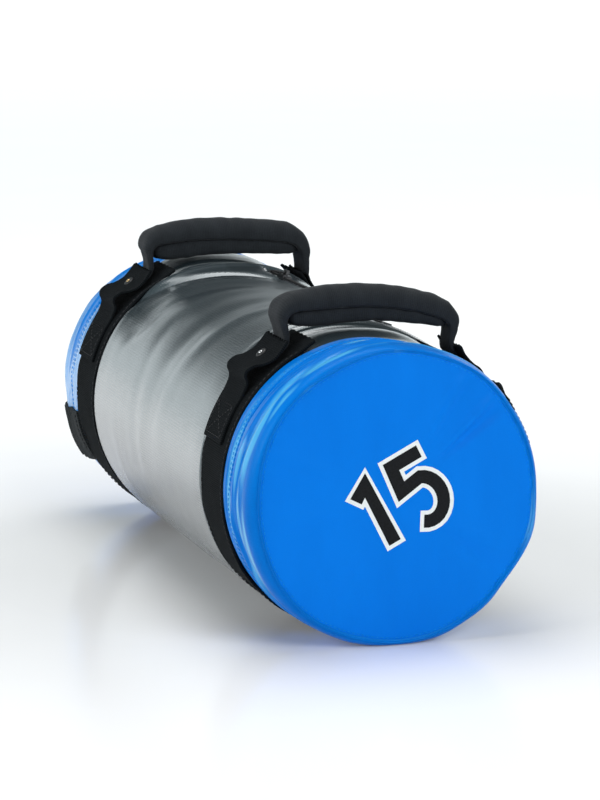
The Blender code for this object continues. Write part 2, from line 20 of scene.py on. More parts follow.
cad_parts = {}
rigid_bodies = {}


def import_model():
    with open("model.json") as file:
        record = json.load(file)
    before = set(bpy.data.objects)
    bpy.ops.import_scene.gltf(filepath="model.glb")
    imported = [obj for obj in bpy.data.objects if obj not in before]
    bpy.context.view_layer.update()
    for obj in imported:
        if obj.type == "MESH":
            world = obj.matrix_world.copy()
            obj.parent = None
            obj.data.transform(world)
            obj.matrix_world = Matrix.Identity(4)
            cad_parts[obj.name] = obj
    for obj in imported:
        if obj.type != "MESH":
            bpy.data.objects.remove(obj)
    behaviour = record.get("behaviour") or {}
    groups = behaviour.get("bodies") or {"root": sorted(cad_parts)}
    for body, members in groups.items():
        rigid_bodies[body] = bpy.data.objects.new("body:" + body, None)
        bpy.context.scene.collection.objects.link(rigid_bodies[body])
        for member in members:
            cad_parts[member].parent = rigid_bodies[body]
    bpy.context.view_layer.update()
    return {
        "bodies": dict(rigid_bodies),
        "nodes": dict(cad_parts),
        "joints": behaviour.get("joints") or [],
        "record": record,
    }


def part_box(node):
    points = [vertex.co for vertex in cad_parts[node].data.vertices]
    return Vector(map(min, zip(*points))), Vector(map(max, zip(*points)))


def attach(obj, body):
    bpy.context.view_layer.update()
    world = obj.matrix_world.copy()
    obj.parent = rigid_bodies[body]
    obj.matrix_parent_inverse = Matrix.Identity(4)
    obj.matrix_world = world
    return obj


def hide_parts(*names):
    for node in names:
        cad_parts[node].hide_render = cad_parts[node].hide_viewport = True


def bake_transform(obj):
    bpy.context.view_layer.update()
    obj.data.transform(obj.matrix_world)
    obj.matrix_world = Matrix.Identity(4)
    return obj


log = logging.getLogger("fitness_bag")
Points = np.ndarray
Colour = tuple[float, float, float]
ZIP_ANGLE = radians(20)
ZIP_HALF = 0.130
ALL_ROUND = 99.0
STRAP_HALF = 0.025
STITCH_SIDES = 6


def off_angle(angle: Points, middle: float) -> Points:
    """How far round the bag these angles lie from a middle one, from -pi to pi."""
    return (angle - middle + pi) % (2 * pi) - pi


def hump(away: Points, width: float) -> Points:
    """A soft hump of height 1 that falls off over this width."""
    return np.exp(-(away / width) ** 2)


def run_lengths(points: Points) -> Points:
    """Distances along a row of points, from 0 at its first."""
    return np.concatenate([[0.0], np.cumsum(np.linalg.norm(np.diff(points, axis=0), axis=1))])


def sampled(line: Points, run: Points, at: Points) -> Points:
    """Points of a line at these distances along it, where its own points lie at the distances in run."""
    return np.stack([np.interp(at, run, line[:, axis]) for axis in range(line.shape[1])], axis=1)


def unit(rows: Points) -> Points:
    """These vectors at length 1."""
    return rows / np.linalg.norm(rows, axis=1, keepdims=True)


class End(Enum):
    """The two ends of the bag."""

    NEAR = 1
    FAR = -1

    @property
    def label(self) -> str:
        """The end's name in piece and body names."""
        return self.name.lower()

    @property
    def mirror(self) -> Points:
        """Factors that turn a point at the near end into this end's."""
        return np.array([self.value, 1.0, 1.0])


class Side(Enum):
    """The two sides of a strap ring, seen along the bag."""

    FRONT = -1
    BACK = 1

    @property
    def label(self) -> str:
        """The side's name in piece names."""
        return self.name.lower()


@dataclass(frozen=True)
class Fold:
    """One soft ridge or crease that runs round the bag."""

    x: float
    angle: float
    width: float
    reach: float
    height: float
    slant: float = 0.0

    @classmethod
    def table(cls, rows: Sequence[tuple[float, ...]], start: float = 0.0) -> "list[Fold]":
        """Folds from rows of place past the start, degrees, width, reach in degrees, height and slant."""
        return [cls(start + x, radians(angle), width, radians(reach), height, slant)
                for x, angle, width, reach, height, slant in rows]

    def lift(self, x: Points, angle: Points) -> Points:
        """Height that this fold adds to the cloth.

        Args:
            x: Places along the bag.
            angle: Angles round the bag.

        Returns:
            The lift at each place, negative in a crease.
        """
        turn = off_angle(angle, self.angle)
        across = (x - self.x - self.slant * turn) / self.width
        return self.height * np.exp(-across ** 2) * np.exp(-(turn / self.reach) ** 4)


@dataclass(frozen=True)
class BagForm:
    """The bag's pressed, slack outline, which every piece of cloth and webbing follows."""

    radius: float = 0.102
    half_length: float = 0.245
    press: float = 0.0025
    roll: float = radians(3.5)
    strap_inner: float = 0.1418
    strap_outer: float = 0.1918
    crown_dip: float = 0.0035
    crown_reach: float = radians(40)
    flats: tuple = ((radians(125), radians(8), -0.0021), (radians(149), radians(7), -0.0017),
                    (radians(-124), radians(22), 0.0026))
    ring_sink: float = 0.0031
    ring_sink_at: float = radians(31)
    ring_sink_reach: float = radians(13)
    handle_shift: float = 0.006

    @property
    def axis_height(self) -> float:
        """Height of the bag's axis above the floor."""
        return self.radius - self.press

    def strap_centre(self, end: End) -> float:
        """Place of a strap ring's middle along the bag."""
        return end.value * (self.strap_inner + self.strap_outer) / 2

    def handle_centre(self, end: End) -> float:
        """Place of a handle's middle along the bag, a little off the middle of its ring."""
        return self.strap_centre(end) - self.handle_shift

    def outline(self, x: Points, angle: Points) -> Points:
        """Radius of the bag without folds: its slack crown and its uneven sides.

        Args:
            x: Places along the bag.
            angle: Angles round the bag.

        Returns:
            The radius at each place.
        """
        turn = np.abs(off_angle(angle, self.roll))
        fade = np.clip((self.half_length - np.abs(x)) / (self.half_length - self.strap_outer), 0.0, 1.0)
        inside = np.clip(turn / self.crown_reach, 0.0, 1.0)
        radius = self.radius - self.crown_dip * fade * np.cos(inside * pi / 2) ** 2
        towards = np.clip(x / self.half_length, 0.0, 1.0) ** 2
        for middle, width, height in self.flats:
            radius = radius + towards * height * hump(off_angle(angle, middle), width)
        under_ring = 1 / (1 + np.exp(-(x - self.strap_inner + 0.0018) / 0.0010))
        sink = hump(angle - self.ring_sink_at, self.ring_sink_reach)
        return radius - self.ring_sink * under_ring * sink

    def place(self, x: Points, angle: Points, height: Points = 0.0) -> Points:
        """Points on the bag's outside, or on a layer above it, pressed flat by the floor.

        Args:
            x: Places along the bag.
            angle: Angles round the bag.
            height: Height above the outline, negative for a layer inside.

        Returns:
            Points, with the three coordinates on the last axis.
        """
        x, angle, height = np.broadcast_arrays(np.asarray(x, float), angle, height)
        return self.settle(x, angle, self.outline(x, angle) + height, height)

    def settle(self, x: Points, angle: Points, radius: Points, height: Points) -> Points:
        """Points at this distance from the bag's axis, pressed flat by the floor.

        Args:
            x: Places along the bag.
            angle: Angles round the bag.
            radius: Distances from the axis.
            height: Height of the layer above the bag's outside, negative inside.

        Returns:
            Points, with the three coordinates on the last axis.
        """
        level = self.axis_height + radius * np.cos(angle)
        floor = np.maximum(0.0, -height)
        soft = 0.0006
        level = floor + soft + np.where(level - floor > soft, level - floor - soft,
                                        soft * np.tanh((level - floor - soft) / soft))
        return np.stack([x, radius * np.sin(angle), np.maximum(level, 0.0)], axis=-1)

    def ring_plane(self, x: float, side: float, height: float) -> Vector:
        """A point of a strap ring's plane, rolled with the bag.

        Args:
            x: Place along the bag.
            side: Distance across the bag, towards +Y.
            height: Height above the bag's axis.

        Returns:
            The point.
        """
        return Vector((x, side * cos(self.roll) + height * sin(self.roll),
                       self.axis_height - side * sin(self.roll) + height * cos(self.roll)))


@dataclass(frozen=True)
class RingTable:
    """A radius that changes round the bag, through knots in degrees and millimetres."""

    knots: tuple[tuple[float, float], ...]
    soften: float = 4.0

    def at(self, angle: Points) -> Points:
        """The radius in metres at these angles.

        Args:
            angle: Angles in radians.

        Returns:
            One radius for each angle.
        """
        turn = np.arange(360.0)
        values = np.interp(turn, *zip(*self.knots), period=360.0)
        kernel = np.exp(-(np.minimum(turn, 360.0 - turn) / self.soften) ** 2)
        smooth = np.real(np.fft.ifft(np.fft.fft(values) * np.fft.fft(kernel / kernel.sum())))
        return np.interp(np.degrees(angle), turn, smooth, period=360.0) / 1000


@dataclass(frozen=True)
class CapForm:
    """The outline of one cap: its radius beside the strap, at the shoulder and at the panel's seam."""

    edge: RingTable
    wall: RingTable
    seam: RingTable
    shoulder: float
    face: float
    crown: float

    def radius(self, x: Points, angle: Points) -> Points:
        """Radius of the sleeve without its wrinkles.

        Args:
            x: Distances from the bag's middle.
            angle: Angles round the bag.

        Returns:
            The radius at each place.
        """
        turn = self.face - self.shoulder
        share = np.clip((x - FORM.strap_outer) / (turn - FORM.strap_outer), 0.0, 1.0)
        edge, wall = self.edge.at(angle), self.wall.at(angle)
        over = np.clip((x - turn) / self.shoulder, 0.0, 1.0)
        side = edge + (wall - edge) * share * share * (3 - 2 * share)
        return side - (wall - self.seam.at(angle)) * (1 - np.sqrt(1 - over ** 2))


FORM = BagForm()
NEAR_CAP = CapForm(
    edge=RingTable(((-180, 101.6), (-60, 101.8), (-35, 100.8), (-25, 99.6), (-20, 99.4), (-10, 98.8), (-5, 98.1),
                    (0, 97.4), (5, 96.7), (10, 96.0), (15, 95.6), (20, 95.8), (26, 96.4), (31, 97.6), (38, 99.6),
                    (50, 101.0), (70, 101.8))),
    wall=RingTable(((-180, 101.2), (-149, 101.2), (-125, 102.3), (-110, 101.8), (-100, 101.6), (-85, 101.0),
                    (-75, 100.8), (-50, 101.0), (-20, 100.6), (0, 99.8), (10, 98.9), (20, 98.3), (31, 98.9),
                    (41, 99.9), (50, 99.3), (60, 99.4), (80, 100.0), (90, 100.3), (98, 101.3), (105, 103.1),
                    (110, 103.4), (116, 102.4), (125, 100.9), (131, 100.8), (137, 102.4), (143, 102.5),
                    (151, 102.0), (160, 102.9), (170, 101.8)), soften=3.0),
    seam=RingTable(((-180, 97.5), (-165, 96.5), (-143, 97.3), (-132, 97.0), (-123, 96.3), (-112, 95.2),
                    (-100, 94.6), (-83, 94.8), (-70, 96.3), (-60, 97.2), (-50, 97.8), (-42, 97.5), (-33, 96.5),
                    (-24, 96.0), (-15, 96.8), (-5, 97.6), (5, 97.2), (15, 96.6), (25, 96.9), (31, 97.3),
                    (40, 97.2), (48, 96.4), (56, 95.4), (65, 95.8), (80, 96.6), (93, 96.9), (105, 98.4),
                    (112, 98.2), (122, 96.8), (131, 96.3), (140, 97.6), (151, 97.8), (165, 98.3)), soften=3.0),
    shoulder=0.009, face=0.2448, crown=0.0020)
FAR_CAP = CapForm(
    edge=RingTable(((-180, 100.4), (-150, 99.6), (-125, 99.8), (-112, 101.4), (-40, 101.4), (-20, 100.2),
                    (0, 99.2), (10, 99.6), (20, 101.0), (30, 102.2), (40, 102.4), (60, 102.0), (120, 101.8))),
    wall=RingTable(((-180, 100.4), (-150, 99.4), (-125, 99.6), (-112, 101.4), (-40, 101.6), (-20, 100.6),
                    (0, 99.6), (10, 99.8), (20, 101.2), (35, 102.2), (60, 102.0), (120, 101.8))),
    seam=RingTable(((-180, 90.0), (-120, 90.6), (-60, 89.6), (0, 90.0), (60, 90.6), (120, 89.6))),
    shoulder=0.018, face=0.2412, crown=0.0030)


def set_stops(ramp: bpy.types.Node, stops: Sequence[tuple[float, Colour]]) -> None:
    """Give a colour ramp these stops, each a position and a colour.

    Args:
        ramp: The colour ramp node.
        stops: The stops in order.
    """
    elements = ramp.color_ramp.elements
    while len(elements) < len(stops):
        elements.new(0.5)
    for element, (position, colour) in zip(elements, stops):
        element.position = position
        element.color = (*colour, 1.0)


def grey(level: float) -> Colour:
    """A grey of this level."""
    return level, level, level


class Surface:
    """A material under construction, with the small set of nodes that the finishes share."""

    def __init__(self, name: str, roughness: float, metallic: float = 0.0) -> None:
        """Start a material with a bare Principled shader.

        Args:
            name: The finish's name.
            roughness: Roughness of the whole surface until a texture drives it.
            metallic: 1 for bare metal.
        """
        self.material = bpy.data.materials.new(name)
        self.material.use_nodes = True
        self.nodes = self.material.node_tree.nodes
        self.links = self.material.node_tree.links
        self.shader = self.nodes["Principled BSDF"]
        self.shader.inputs["Roughness"].default_value = roughness
        self.shader.inputs["Metallic"].default_value = metallic

    def plug(self, socket: bpy.types.NodeSocket, value: object) -> None:
        """Set an input from another socket, a number or a colour's three numbers."""
        if isinstance(value, bpy.types.NodeSocket):
            self.links.new(value, socket)
        elif socket.type == 'RGBA':
            socket.default_value = (*value, 1.0)
        else:
            socket.default_value = value

    def feed(self, name: str, value: object) -> None:
        """Set the shader's input of this name from a socket, a number or a colour."""
        self.plug(self.shader.inputs[name], value)

    def coordinates(self, kind: str = "Object") -> bpy.types.NodeSocket:
        """The texture coordinate output of this kind."""
        return self.nodes.new("ShaderNodeTexCoord").outputs[kind]

    def scaled(self, source: bpy.types.NodeSocket, scale: tuple[float, float, float],
               turn: float = 0.0) -> bpy.types.NodeSocket:
        """Coordinates scaled along each axis and turned.

        Args:
            source: The coordinates.
            scale: Factor along each axis.
            turn: Turn about Z in radians.

        Returns:
            The mapped coordinates.
        """
        mapping = self.nodes.new("ShaderNodeMapping")
        mapping.inputs["Scale"].default_value = scale
        mapping.inputs["Rotation"].default_value = (0.0, 0.0, turn)
        self.links.new(source, mapping.inputs["Vector"])
        return mapping.outputs["Vector"]

    def noise(self, source: bpy.types.NodeSocket, scale: float, detail: float = 4.0,
              rough: float = 0.55) -> bpy.types.NodeSocket:
        """Cloudy noise over these coordinates.

        Args:
            source: The coordinates.
            scale: Noise cells in a metre of the coordinates.
            detail: Octaves.
            rough: Weight of the finer octaves.

        Returns:
            The noise's value.
        """
        made = self.nodes.new("ShaderNodeTexNoise")
        made.inputs["Scale"].default_value = scale
        made.inputs["Detail"].default_value = detail
        made.inputs["Roughness"].default_value = rough
        self.links.new(source, made.inputs["Vector"])
        return made.outputs["Fac"]

    def ribs(self, source: bpy.types.NodeSocket, axis: str, pitch: float,
             distortion: float) -> bpy.types.NodeSocket:
        """Parallel ribs across one axis of these coordinates.

        Args:
            source: The coordinates.
            axis: X or Y.
            pitch: Distance from rib to rib.
            distortion: How much the ribs wander.

        Returns:
            The ribs' value.
        """
        made = self.nodes.new("ShaderNodeTexWave")
        made.wave_type = 'BANDS'
        made.bands_direction = axis
        made.wave_profile = 'SIN'
        made.inputs["Scale"].default_value = 2 * pi / (20 * pitch)
        made.inputs["Distortion"].default_value = distortion
        made.inputs["Detail"].default_value = 1.0
        self.links.new(source, made.inputs["Vector"])
        return made.outputs["Fac"]

    def math(self, operation: str, first: object, second: object = 0.0,
             third: object = 0.0) -> bpy.types.NodeSocket:
        """One math node on sockets or numbers.

        Args:
            operation: The node's operation.
            first: A socket or a number.
            second: A socket or a number.
            third: A socket or a number, added by the operations that take three.

        Returns:
            The result.
        """
        made = self.nodes.new("ShaderNodeMath")
        made.operation = operation
        for socket, value in zip(made.inputs, (first, second, third)):
            self.plug(socket, value)
        return made.outputs["Value"]

    def patches(self, spots: Sequence[tuple[float, float, float, float, float]]) -> bpy.types.NodeSocket:
        """Soft long spots on the bag, each at a distance along it and an angle round it.

        Args:
            spots: For each its distance, angle in degrees, half width, half reach in degrees and strength.

        Returns:
            A socket with the strongest spot's value at each place.
        """
        split = self.nodes.new("ShaderNodeSeparateXYZ")
        self.links.new(self.coordinates("Object"), split.inputs["Vector"])
        along, side, up = split.outputs
        angle = self.math('ARCTAN2', side, self.math('SUBTRACT', up, FORM.axis_height))
        total = None
        for x, middle, width, reach, strength in spots:
            near = self.math('MULTIPLY_ADD', along, 1 / width, -x / width)
            turn = radians(reach)
            away = self.math('MULTIPLY_ADD', angle, 1 / turn, -radians(middle) / turn)
            far = self.math('ADD', self.math('MULTIPLY', near, near), self.math('MULTIPLY', away, away))
            spot = self.math('MULTIPLY', self.math('EXPONENT', self.math('MULTIPLY', far, -1.0)), strength)
            total = spot if total is None else self.math('MAXIMUM', total, spot)
        return total

    def ramp(self, source: bpy.types.NodeSocket, stops: Sequence[tuple[float, Colour]]) -> bpy.types.NodeSocket:
        """Colours along a value.

        Args:
            source: The value.
            stops: Position and colour of each stop.

        Returns:
            The colour.
        """
        made = self.nodes.new("ShaderNodeValToRGB")
        set_stops(made, stops)
        self.links.new(source, made.inputs["Fac"])
        return made.outputs["Color"]

    def mix(self, factor: object, first: object, second: object) -> bpy.types.NodeSocket:
        """Blend two colours.

        Args:
            factor: A socket or a number.
            first: Colour at 0, a socket or three numbers.
            second: Colour at 1, a socket or three numbers.

        Returns:
            The blended colour.
        """
        made = self.nodes.new("ShaderNodeMix")
        made.data_type = 'RGBA'
        for index, value in ((0, factor), (6, first), (7, second)):
            self.plug(made.inputs[index], value)
        return made.outputs[2]

    def relief(self, *steps: tuple[bpy.types.NodeSocket, float, float], socket: str = "Normal") -> None:
        """Bump the surface.

        Args:
            steps: Height socket, strength and distance of each bump, the coarsest first.
            socket: The shader's normal that the last bump feeds.
        """
        normal = None
        for height, strength, distance in steps:
            bump = self.nodes.new("ShaderNodeBump")
            bump.inputs["Strength"].default_value = strength
            bump.inputs["Distance"].default_value = distance
            self.links.new(height, bump.inputs["Height"])
            if normal is not None:
                self.links.new(normal, bump.inputs["Normal"])
            normal = bump.outputs["Normal"]
        self.links.new(normal, self.shader.inputs[socket])


@dataclass(frozen=True)
class CoatedCloth:
    """Woven cloth under a smooth plastic coat: the grey tube and the blue caps."""

    name: str
    colour: Colour
    shade: Colour
    roughness: float
    weave: float = 0.0014
    weave_depth: float = 0.00006
    ripple_depth: float = 0.0003
    gloss_spread: float = 0.20
    specular: float = 0.5
    tint: Colour = (1.0, 1.0, 1.0)
    coat: float = 0.0
    coat_low: float = 0.0
    streak: float = 0.0245
    # Painted highlights: a paler colour laid into the base colour where the streaks and glints are strongest; the
    # glints also thicken the coat
    painted_highlight_colour: Optional[Colour] = None
    glints: tuple[tuple[float, float, float, float, float], ...] = ()
    ior: float = 1.5
    coat_roughness: float = 0.12
    coat_ior: float = 1.5
    coat_facing: Optional[float] = None

    def make(self) -> bpy.types.Material:
        """Build the material: weave showing through the coat, soft clouding, uneven gloss and painted highlights.

        Returns:
            The material.
        """
        made = Surface(self.name, self.roughness)
        place = made.coordinates("UV")
        clouds = made.noise(made.scaled(place, (1.0, 0.35, 1.0)), 22.0, 5.0)
        grain = made.noise(place, 900.0, 2.0)
        tone = made.math('MULTIPLY_ADD', grain, 0.2, made.math('MULTIPLY', clouds, 0.8))
        colour = made.ramp(tone, [(0.36, self.shade), (0.62, self.colour)])
        bands = made.ribs(place, 'X', self.streak, 2.5)
        streaks = made.noise(made.scaled(place, (1.0, 0.16, 1.0)), 75.0, 3.0)
        streaks = made.math('MULTIPLY_ADD', bands, 0.35, made.math('MULTIPLY', streaks, 0.65))
        if self.glints:
            shine = made.math('MULTIPLY', streaks, 1.2)
            streaks = made.math('MULTIPLY_ADD', made.patches(self.glints), shine,
                                made.math('MULTIPLY', streaks, 0.80))
        # Painted highlight: the base colour turns paler where the streaks and glints are strongest
        if self.painted_highlight_colour:
            share = made.ramp(streaks, [(0.50, grey(0.0)), (0.72, grey(1.0))])
            colour = made.mix(share, colour, self.painted_highlight_colour)
        made.feed("Base Color", colour)
        gloss = made.noise(place, 60.0, 3.0)
        low = self.roughness - self.gloss_spread / 2
        made.feed("Roughness", made.math('MULTIPLY_ADD', gloss, self.gloss_spread, low))
        warp = made.ribs(place, 'X', self.weave, 0.4)
        weft = made.ribs(place, 'Y', self.weave, 0.4)
        threads = made.math('MAXIMUM', warp, weft)
        ripples = made.noise(made.scaled(place, (1.0, 0.45, 1.0)), 110.0, 3.0)
        made.relief((ripples, 0.35, self.ripple_depth), (threads, 0.6, self.weave_depth))
        made.feed("Specular IOR Level", self.specular)
        made.feed("Specular Tint", self.tint)
        made.feed("IOR", self.ior)
        if self.coat:
            self.add_coat(made, streaks, threads)
        return made.material

    def add_coat(self, made: Surface, streaks: bpy.types.NodeSocket, threads: bpy.types.NodeSocket) -> None:
        """Lay the plastic coat over the cloth: in long streaks round the bag, or thinner where it faces the eye.

        Args:
            made: The material under construction.
            streaks: Where the streaks lie.
            threads: The weave's height.
        """
        if self.coat_facing is None:
            weight = made.ramp(streaks, [(0.50, grey(self.coat_low)), (0.68, grey(self.coat))])
        else:
            slant = made.nodes.new("ShaderNodeLayerWeight")
            slant.inputs["Blend"].default_value = 0.5
            levels = [(0.0, self.coat_facing), (0.30, self.coat_facing * 1.3), (0.62, 1.0)]
            weight = made.ramp(slant.outputs["Facing"], [(at, grey(level * self.coat)) for at, level in levels])
        made.feed("Coat Weight", weight)
        made.feed("Coat Roughness", self.coat_roughness)
        made.feed("Coat IOR", self.coat_ior)
        made.relief((threads, 0.3, self.weave_depth), socket="Coat Normal")


@dataclass(frozen=True)
class WovenWebbing:
    """Heavy woven webbing: ribs across it, a fine herringbone and dusty raised threads."""

    name: str
    colour: Colour
    worn: Colour
    rib: float = 0.0014
    roughness: float = 0.78

    def make(self) -> bpy.types.Material:
        """Build the material over UV coordinates in metres: U along the webbing, V across it.

        Returns:
            The material.
        """
        made = Surface(self.name, self.roughness)
        place = made.coordinates("UV")
        ribs = made.ribs(place, 'X', self.rib, 0.6)
        turned = made.scaled(place, (1.0, 1.0, 1.0), radians(38))
        slant = made.ribs(turned, 'X', self.rib * 0.8, 0.8)
        fibres = made.noise(made.scaled(place, (0.3, 1.0, 1.0)), 1400.0, 2.0)
        dust = made.noise(place, 45.0, 4.0)
        height = made.math('MULTIPLY_ADD', slant, 0.45, made.math('MULTIPLY', ribs, 0.55))
        tone = made.math('MULTIPLY_ADD', fibres, 0.30, made.math('MULTIPLY', height, 0.45))
        tone = made.math('MULTIPLY_ADD', dust, 0.25, tone)
        made.feed("Base Color", made.ramp(tone, [(0.30, self.colour), (0.75, self.worn)]))
        made.relief((dust, 0.3, 0.0006), (height, 0.9, 0.00030), (fibres, 0.4, 0.0001))
        made.feed("Specular IOR Level", 0.03)
        made.feed("Sheen Weight", 0.008)
        made.feed("Sheen Roughness", 0.5)
        return made.material


@dataclass(frozen=True)
class KnitCover:
    """Matt knitted cover over foam: fine ribs across the grip and a soft nap."""

    name: str
    colour: Colour
    worn: Colour
    rib: float = 0.0013

    def make(self) -> bpy.types.Material:
        """Build the material over UV coordinates in metres: U along the handle, V round it.

        Returns:
            The material.
        """
        made = Surface(self.name, 0.88)
        place = made.coordinates("UV")
        ribs = made.ribs(place, 'X', self.rib, 0.7)
        loops = made.ribs(place, 'Y', self.rib * 0.8, 1.5)
        nap = made.noise(place, 1500.0, 3.0)
        folds = made.noise(made.scaled(place, (1.0, 0.4, 1.0)), 90.0, 3.0)
        height = made.math('MULTIPLY_ADD', loops, 0.3, made.math('MULTIPLY', ribs, 0.7))
        tone = made.math('MULTIPLY_ADD', nap, 0.5, made.math('MULTIPLY', height, 0.18))
        tone = made.math('MULTIPLY_ADD', folds, 0.32, tone)
        made.feed("Base Color", made.ramp(tone, [(0.30, self.colour), (0.70, self.worn)]))
        made.relief((folds, 0.6, 0.0015), (height, 0.6, 0.00012), (nap, 0.5, 0.00016))
        made.feed("Specular IOR Level", 0.15)
        made.feed("Sheen Weight", 0.08)
        made.feed("Sheen Roughness", 0.4)
        return made.material


@dataclass(frozen=True)
class Plain:
    """A small hard or threaded piece: one colour with fine grain and uneven gloss."""

    name: str
    colour: Colour
    shade: Colour
    roughness: float
    metallic: float = 0.0
    grain: float = 700.0
    depth: float = 0.00005
    specular: float = 0.5

    def make(self) -> bpy.types.Material:
        """Build the material.

        Returns:
            The material.
        """
        made = Surface(self.name, self.roughness, self.metallic)
        place = made.coordinates("Object")
        grain = made.noise(place, self.grain, 3.0)
        made.feed("Base Color", made.ramp(grain, [(0.35, self.shade), (0.65, self.colour)]))
        patches = made.noise(place, self.grain / 4, 2.0)
        made.feed("Roughness", made.math('MULTIPLY_ADD', patches, 0.2, self.roughness - 0.1))
        made.relief((grain, 0.4, self.depth))
        made.feed("Specular IOR Level", self.specular)
        return made.material


GREY_CLOTH = CoatedCloth("grey_coated_cloth", (0.034, 0.050, 0.058), (0.021, 0.032, 0.038), 0.30,
                         weave=0.0019, weave_depth=0.00013, ripple_depth=0.00016, gloss_spread=0.10,
                         tint=(0.66, 0.92, 1.0), coat=1.0, coat_roughness=0.19, coat_ior=3.3, coat_facing=0.24)
# Near sleeve glints: distance, angle in degrees, half width, half reach in degrees and strength; each is a
# painted highlight that lightens the cloth's colour, and a patch of thicker coat
NEAR_GLINTS = ((0.2050, -80, 0.0018, 18, 1.0), (0.2120, -66, 0.0016, 14, 0.9), (0.2190, -82, 0.0016, 20, 0.8),
               (0.2300, -60, 0.0045, 15, 1.0), (0.2385, -47, 0.0030, 12, 1.0), (0.2350, -26, 0.0035, 10, 0.9),
               (0.2150, -2, 0.0035, 14, 0.8), (0.2250, -99, 0.0022, 18, 0.9), (0.2340, -112, 0.0020, 16, 0.8))
# The near sleeve's cloth, with painted highlights at its glints
BLUE_CLOTH = CoatedCloth("blue_coated_cloth", (0.001, 0.195, 0.70), (0.0005, 0.155, 0.60), 0.34, specular=0.10,
                         tint=(0.35, 0.85, 1.0), coat=0.70, coat_low=0.01, coat_roughness=0.12,
                         painted_highlight_colour=(0.080, 0.46, 0.84), glints=NEAR_GLINTS)
# The far sleeve's cloth: a lighter copy of the blue cloth, with one broad glint whose whitish colour is a painted
# reflection over its front side
FAR_BLUE_CLOTH_PAINTED_LIGHT = CoatedCloth("blue_coated_cloth_far", (0.004, 0.225, 0.74), (0.002, 0.190, 0.66), 0.30,
                             specular=0.35, tint=(0.35, 0.85, 1.0), coat=1.0, coat_low=0.15, coat_roughness=0.16,
                             coat_ior=2.4, painted_highlight_colour=(0.18, 0.42, 0.82), glints=((-0.2200, -94, 0.08, 30, 1.4),))
PANEL_CLOTH = CoatedCloth("blue_end_panel", (0.0008, 0.205, 0.82), (0.0004, 0.185, 0.76), 0.50, specular=0.05,
                          weave_depth=0.00003, gloss_spread=0.12)
WEBBING = WovenWebbing("black_webbing", (0.0026, 0.0034, 0.0042), (0.0110, 0.0140, 0.0160))
LOOP_WEBBING = WovenWebbing("loop_webbing", (0.022, 0.025, 0.027), (0.070, 0.076, 0.078))
TAPE = WovenWebbing("zipper_tape", (0.008, 0.009, 0.010), (0.022, 0.025, 0.028), rib=0.0009)
COVER = KnitCover("padded_cover", (0.0075, 0.0092, 0.0115), (0.0260, 0.0310, 0.0360))
BLUE_THREAD = Plain("blue_thread", (0.004, 0.31, 0.86), (0.001, 0.20, 0.66), 0.6, grain=2500.0, specular=0.1)
BLACK_THREAD = Plain("black_thread", (0.014, 0.016, 0.019), (0.007, 0.008, 0.010), 0.75, grain=2500.0)
# Bright metals for the rivet centres, which stand in for the rivets' highlights: painted highlights, orange at
# the far end and white at the near one
BRASS_PAINTED_HIGHLIGHT = Plain("rivet_brass", (0.82, 0.60, 0.30), (0.60, 0.40, 0.17), 0.28, 1.0)
NICKEL_PAINTED_HIGHLIGHT = Plain("rivet_nickel", (0.78, 0.79, 0.80), (0.60, 0.61, 0.62), 0.26, 1.0)
RIVET_BLACK = Plain("rivet_black", (0.014, 0.016, 0.018), (0.008, 0.009, 0.010), 0.42)
DARK_METAL = Plain("zipper_metal", (0.13, 0.13, 0.135), (0.06, 0.06, 0.065), 0.36, 1.0)
COIL = Plain("zipper_coil", (0.020, 0.021, 0.023), (0.010, 0.011, 0.012), 0.38)
CORD = Plain("puller_cord", (0.030, 0.031, 0.034), (0.012, 0.013, 0.014), 0.75, grain=1600.0, depth=0.0002)
PRINT_BLACK = Plain("print_black", (0.008, 0.009, 0.011), (0.005, 0.006, 0.007), 0.5, specular=0.12)
PRINT_WHITE = Plain("print_white", (0.90, 0.93, 0.93), (0.85, 0.89, 0.89), 0.5, specular=0.3)
LINER = Plain("liner_cloth", (0.62, 0.62, 0.58), (0.50, 0.50, 0.46), 0.7)
GRANULES = Plain("granules", (0.20, 0.18, 0.16), (0.10, 0.09, 0.08), 0.9, grain=260.0, depth=0.0008)
FOAM = Plain("closed_cell_foam", (0.10, 0.10, 0.11), (0.05, 0.05, 0.055), 0.85)


class Wardrobe:
    """The finishes, each made into a material once."""

    def __init__(self) -> None:
        """Start with nothing made."""
        self._made: dict[str, bpy.types.Material] = {}

    def wear(self, piece: bpy.types.Object, finish: object) -> None:
        """Put a finish on a piece, in place of whatever it has.

        Args:
            piece: The object to dress.
            finish: One of the finish classes above.
        """
        if finish.name not in self._made:
            self._made[finish.name] = finish.make()
        piece.data.materials.clear()
        piece.data.materials.append(self._made[finish.name])


WARDROBE = Wardrobe()


def turn_steps(start: float, end: float, count: int) -> Points:
    """Evenly spaced values from start to end, both included."""
    return np.linspace(start, end, count + 1)


def linked(name: str, data: bpy.types.ID) -> bpy.types.Object:
    """A new object in the scene that shows this mesh, lamp or camera.

    Args:
        name: The object's name.
        data: What it shows.

    Returns:
        The object.
    """
    made = bpy.data.objects.new(name, data)
    bpy.context.scene.collection.objects.link(made)
    return made


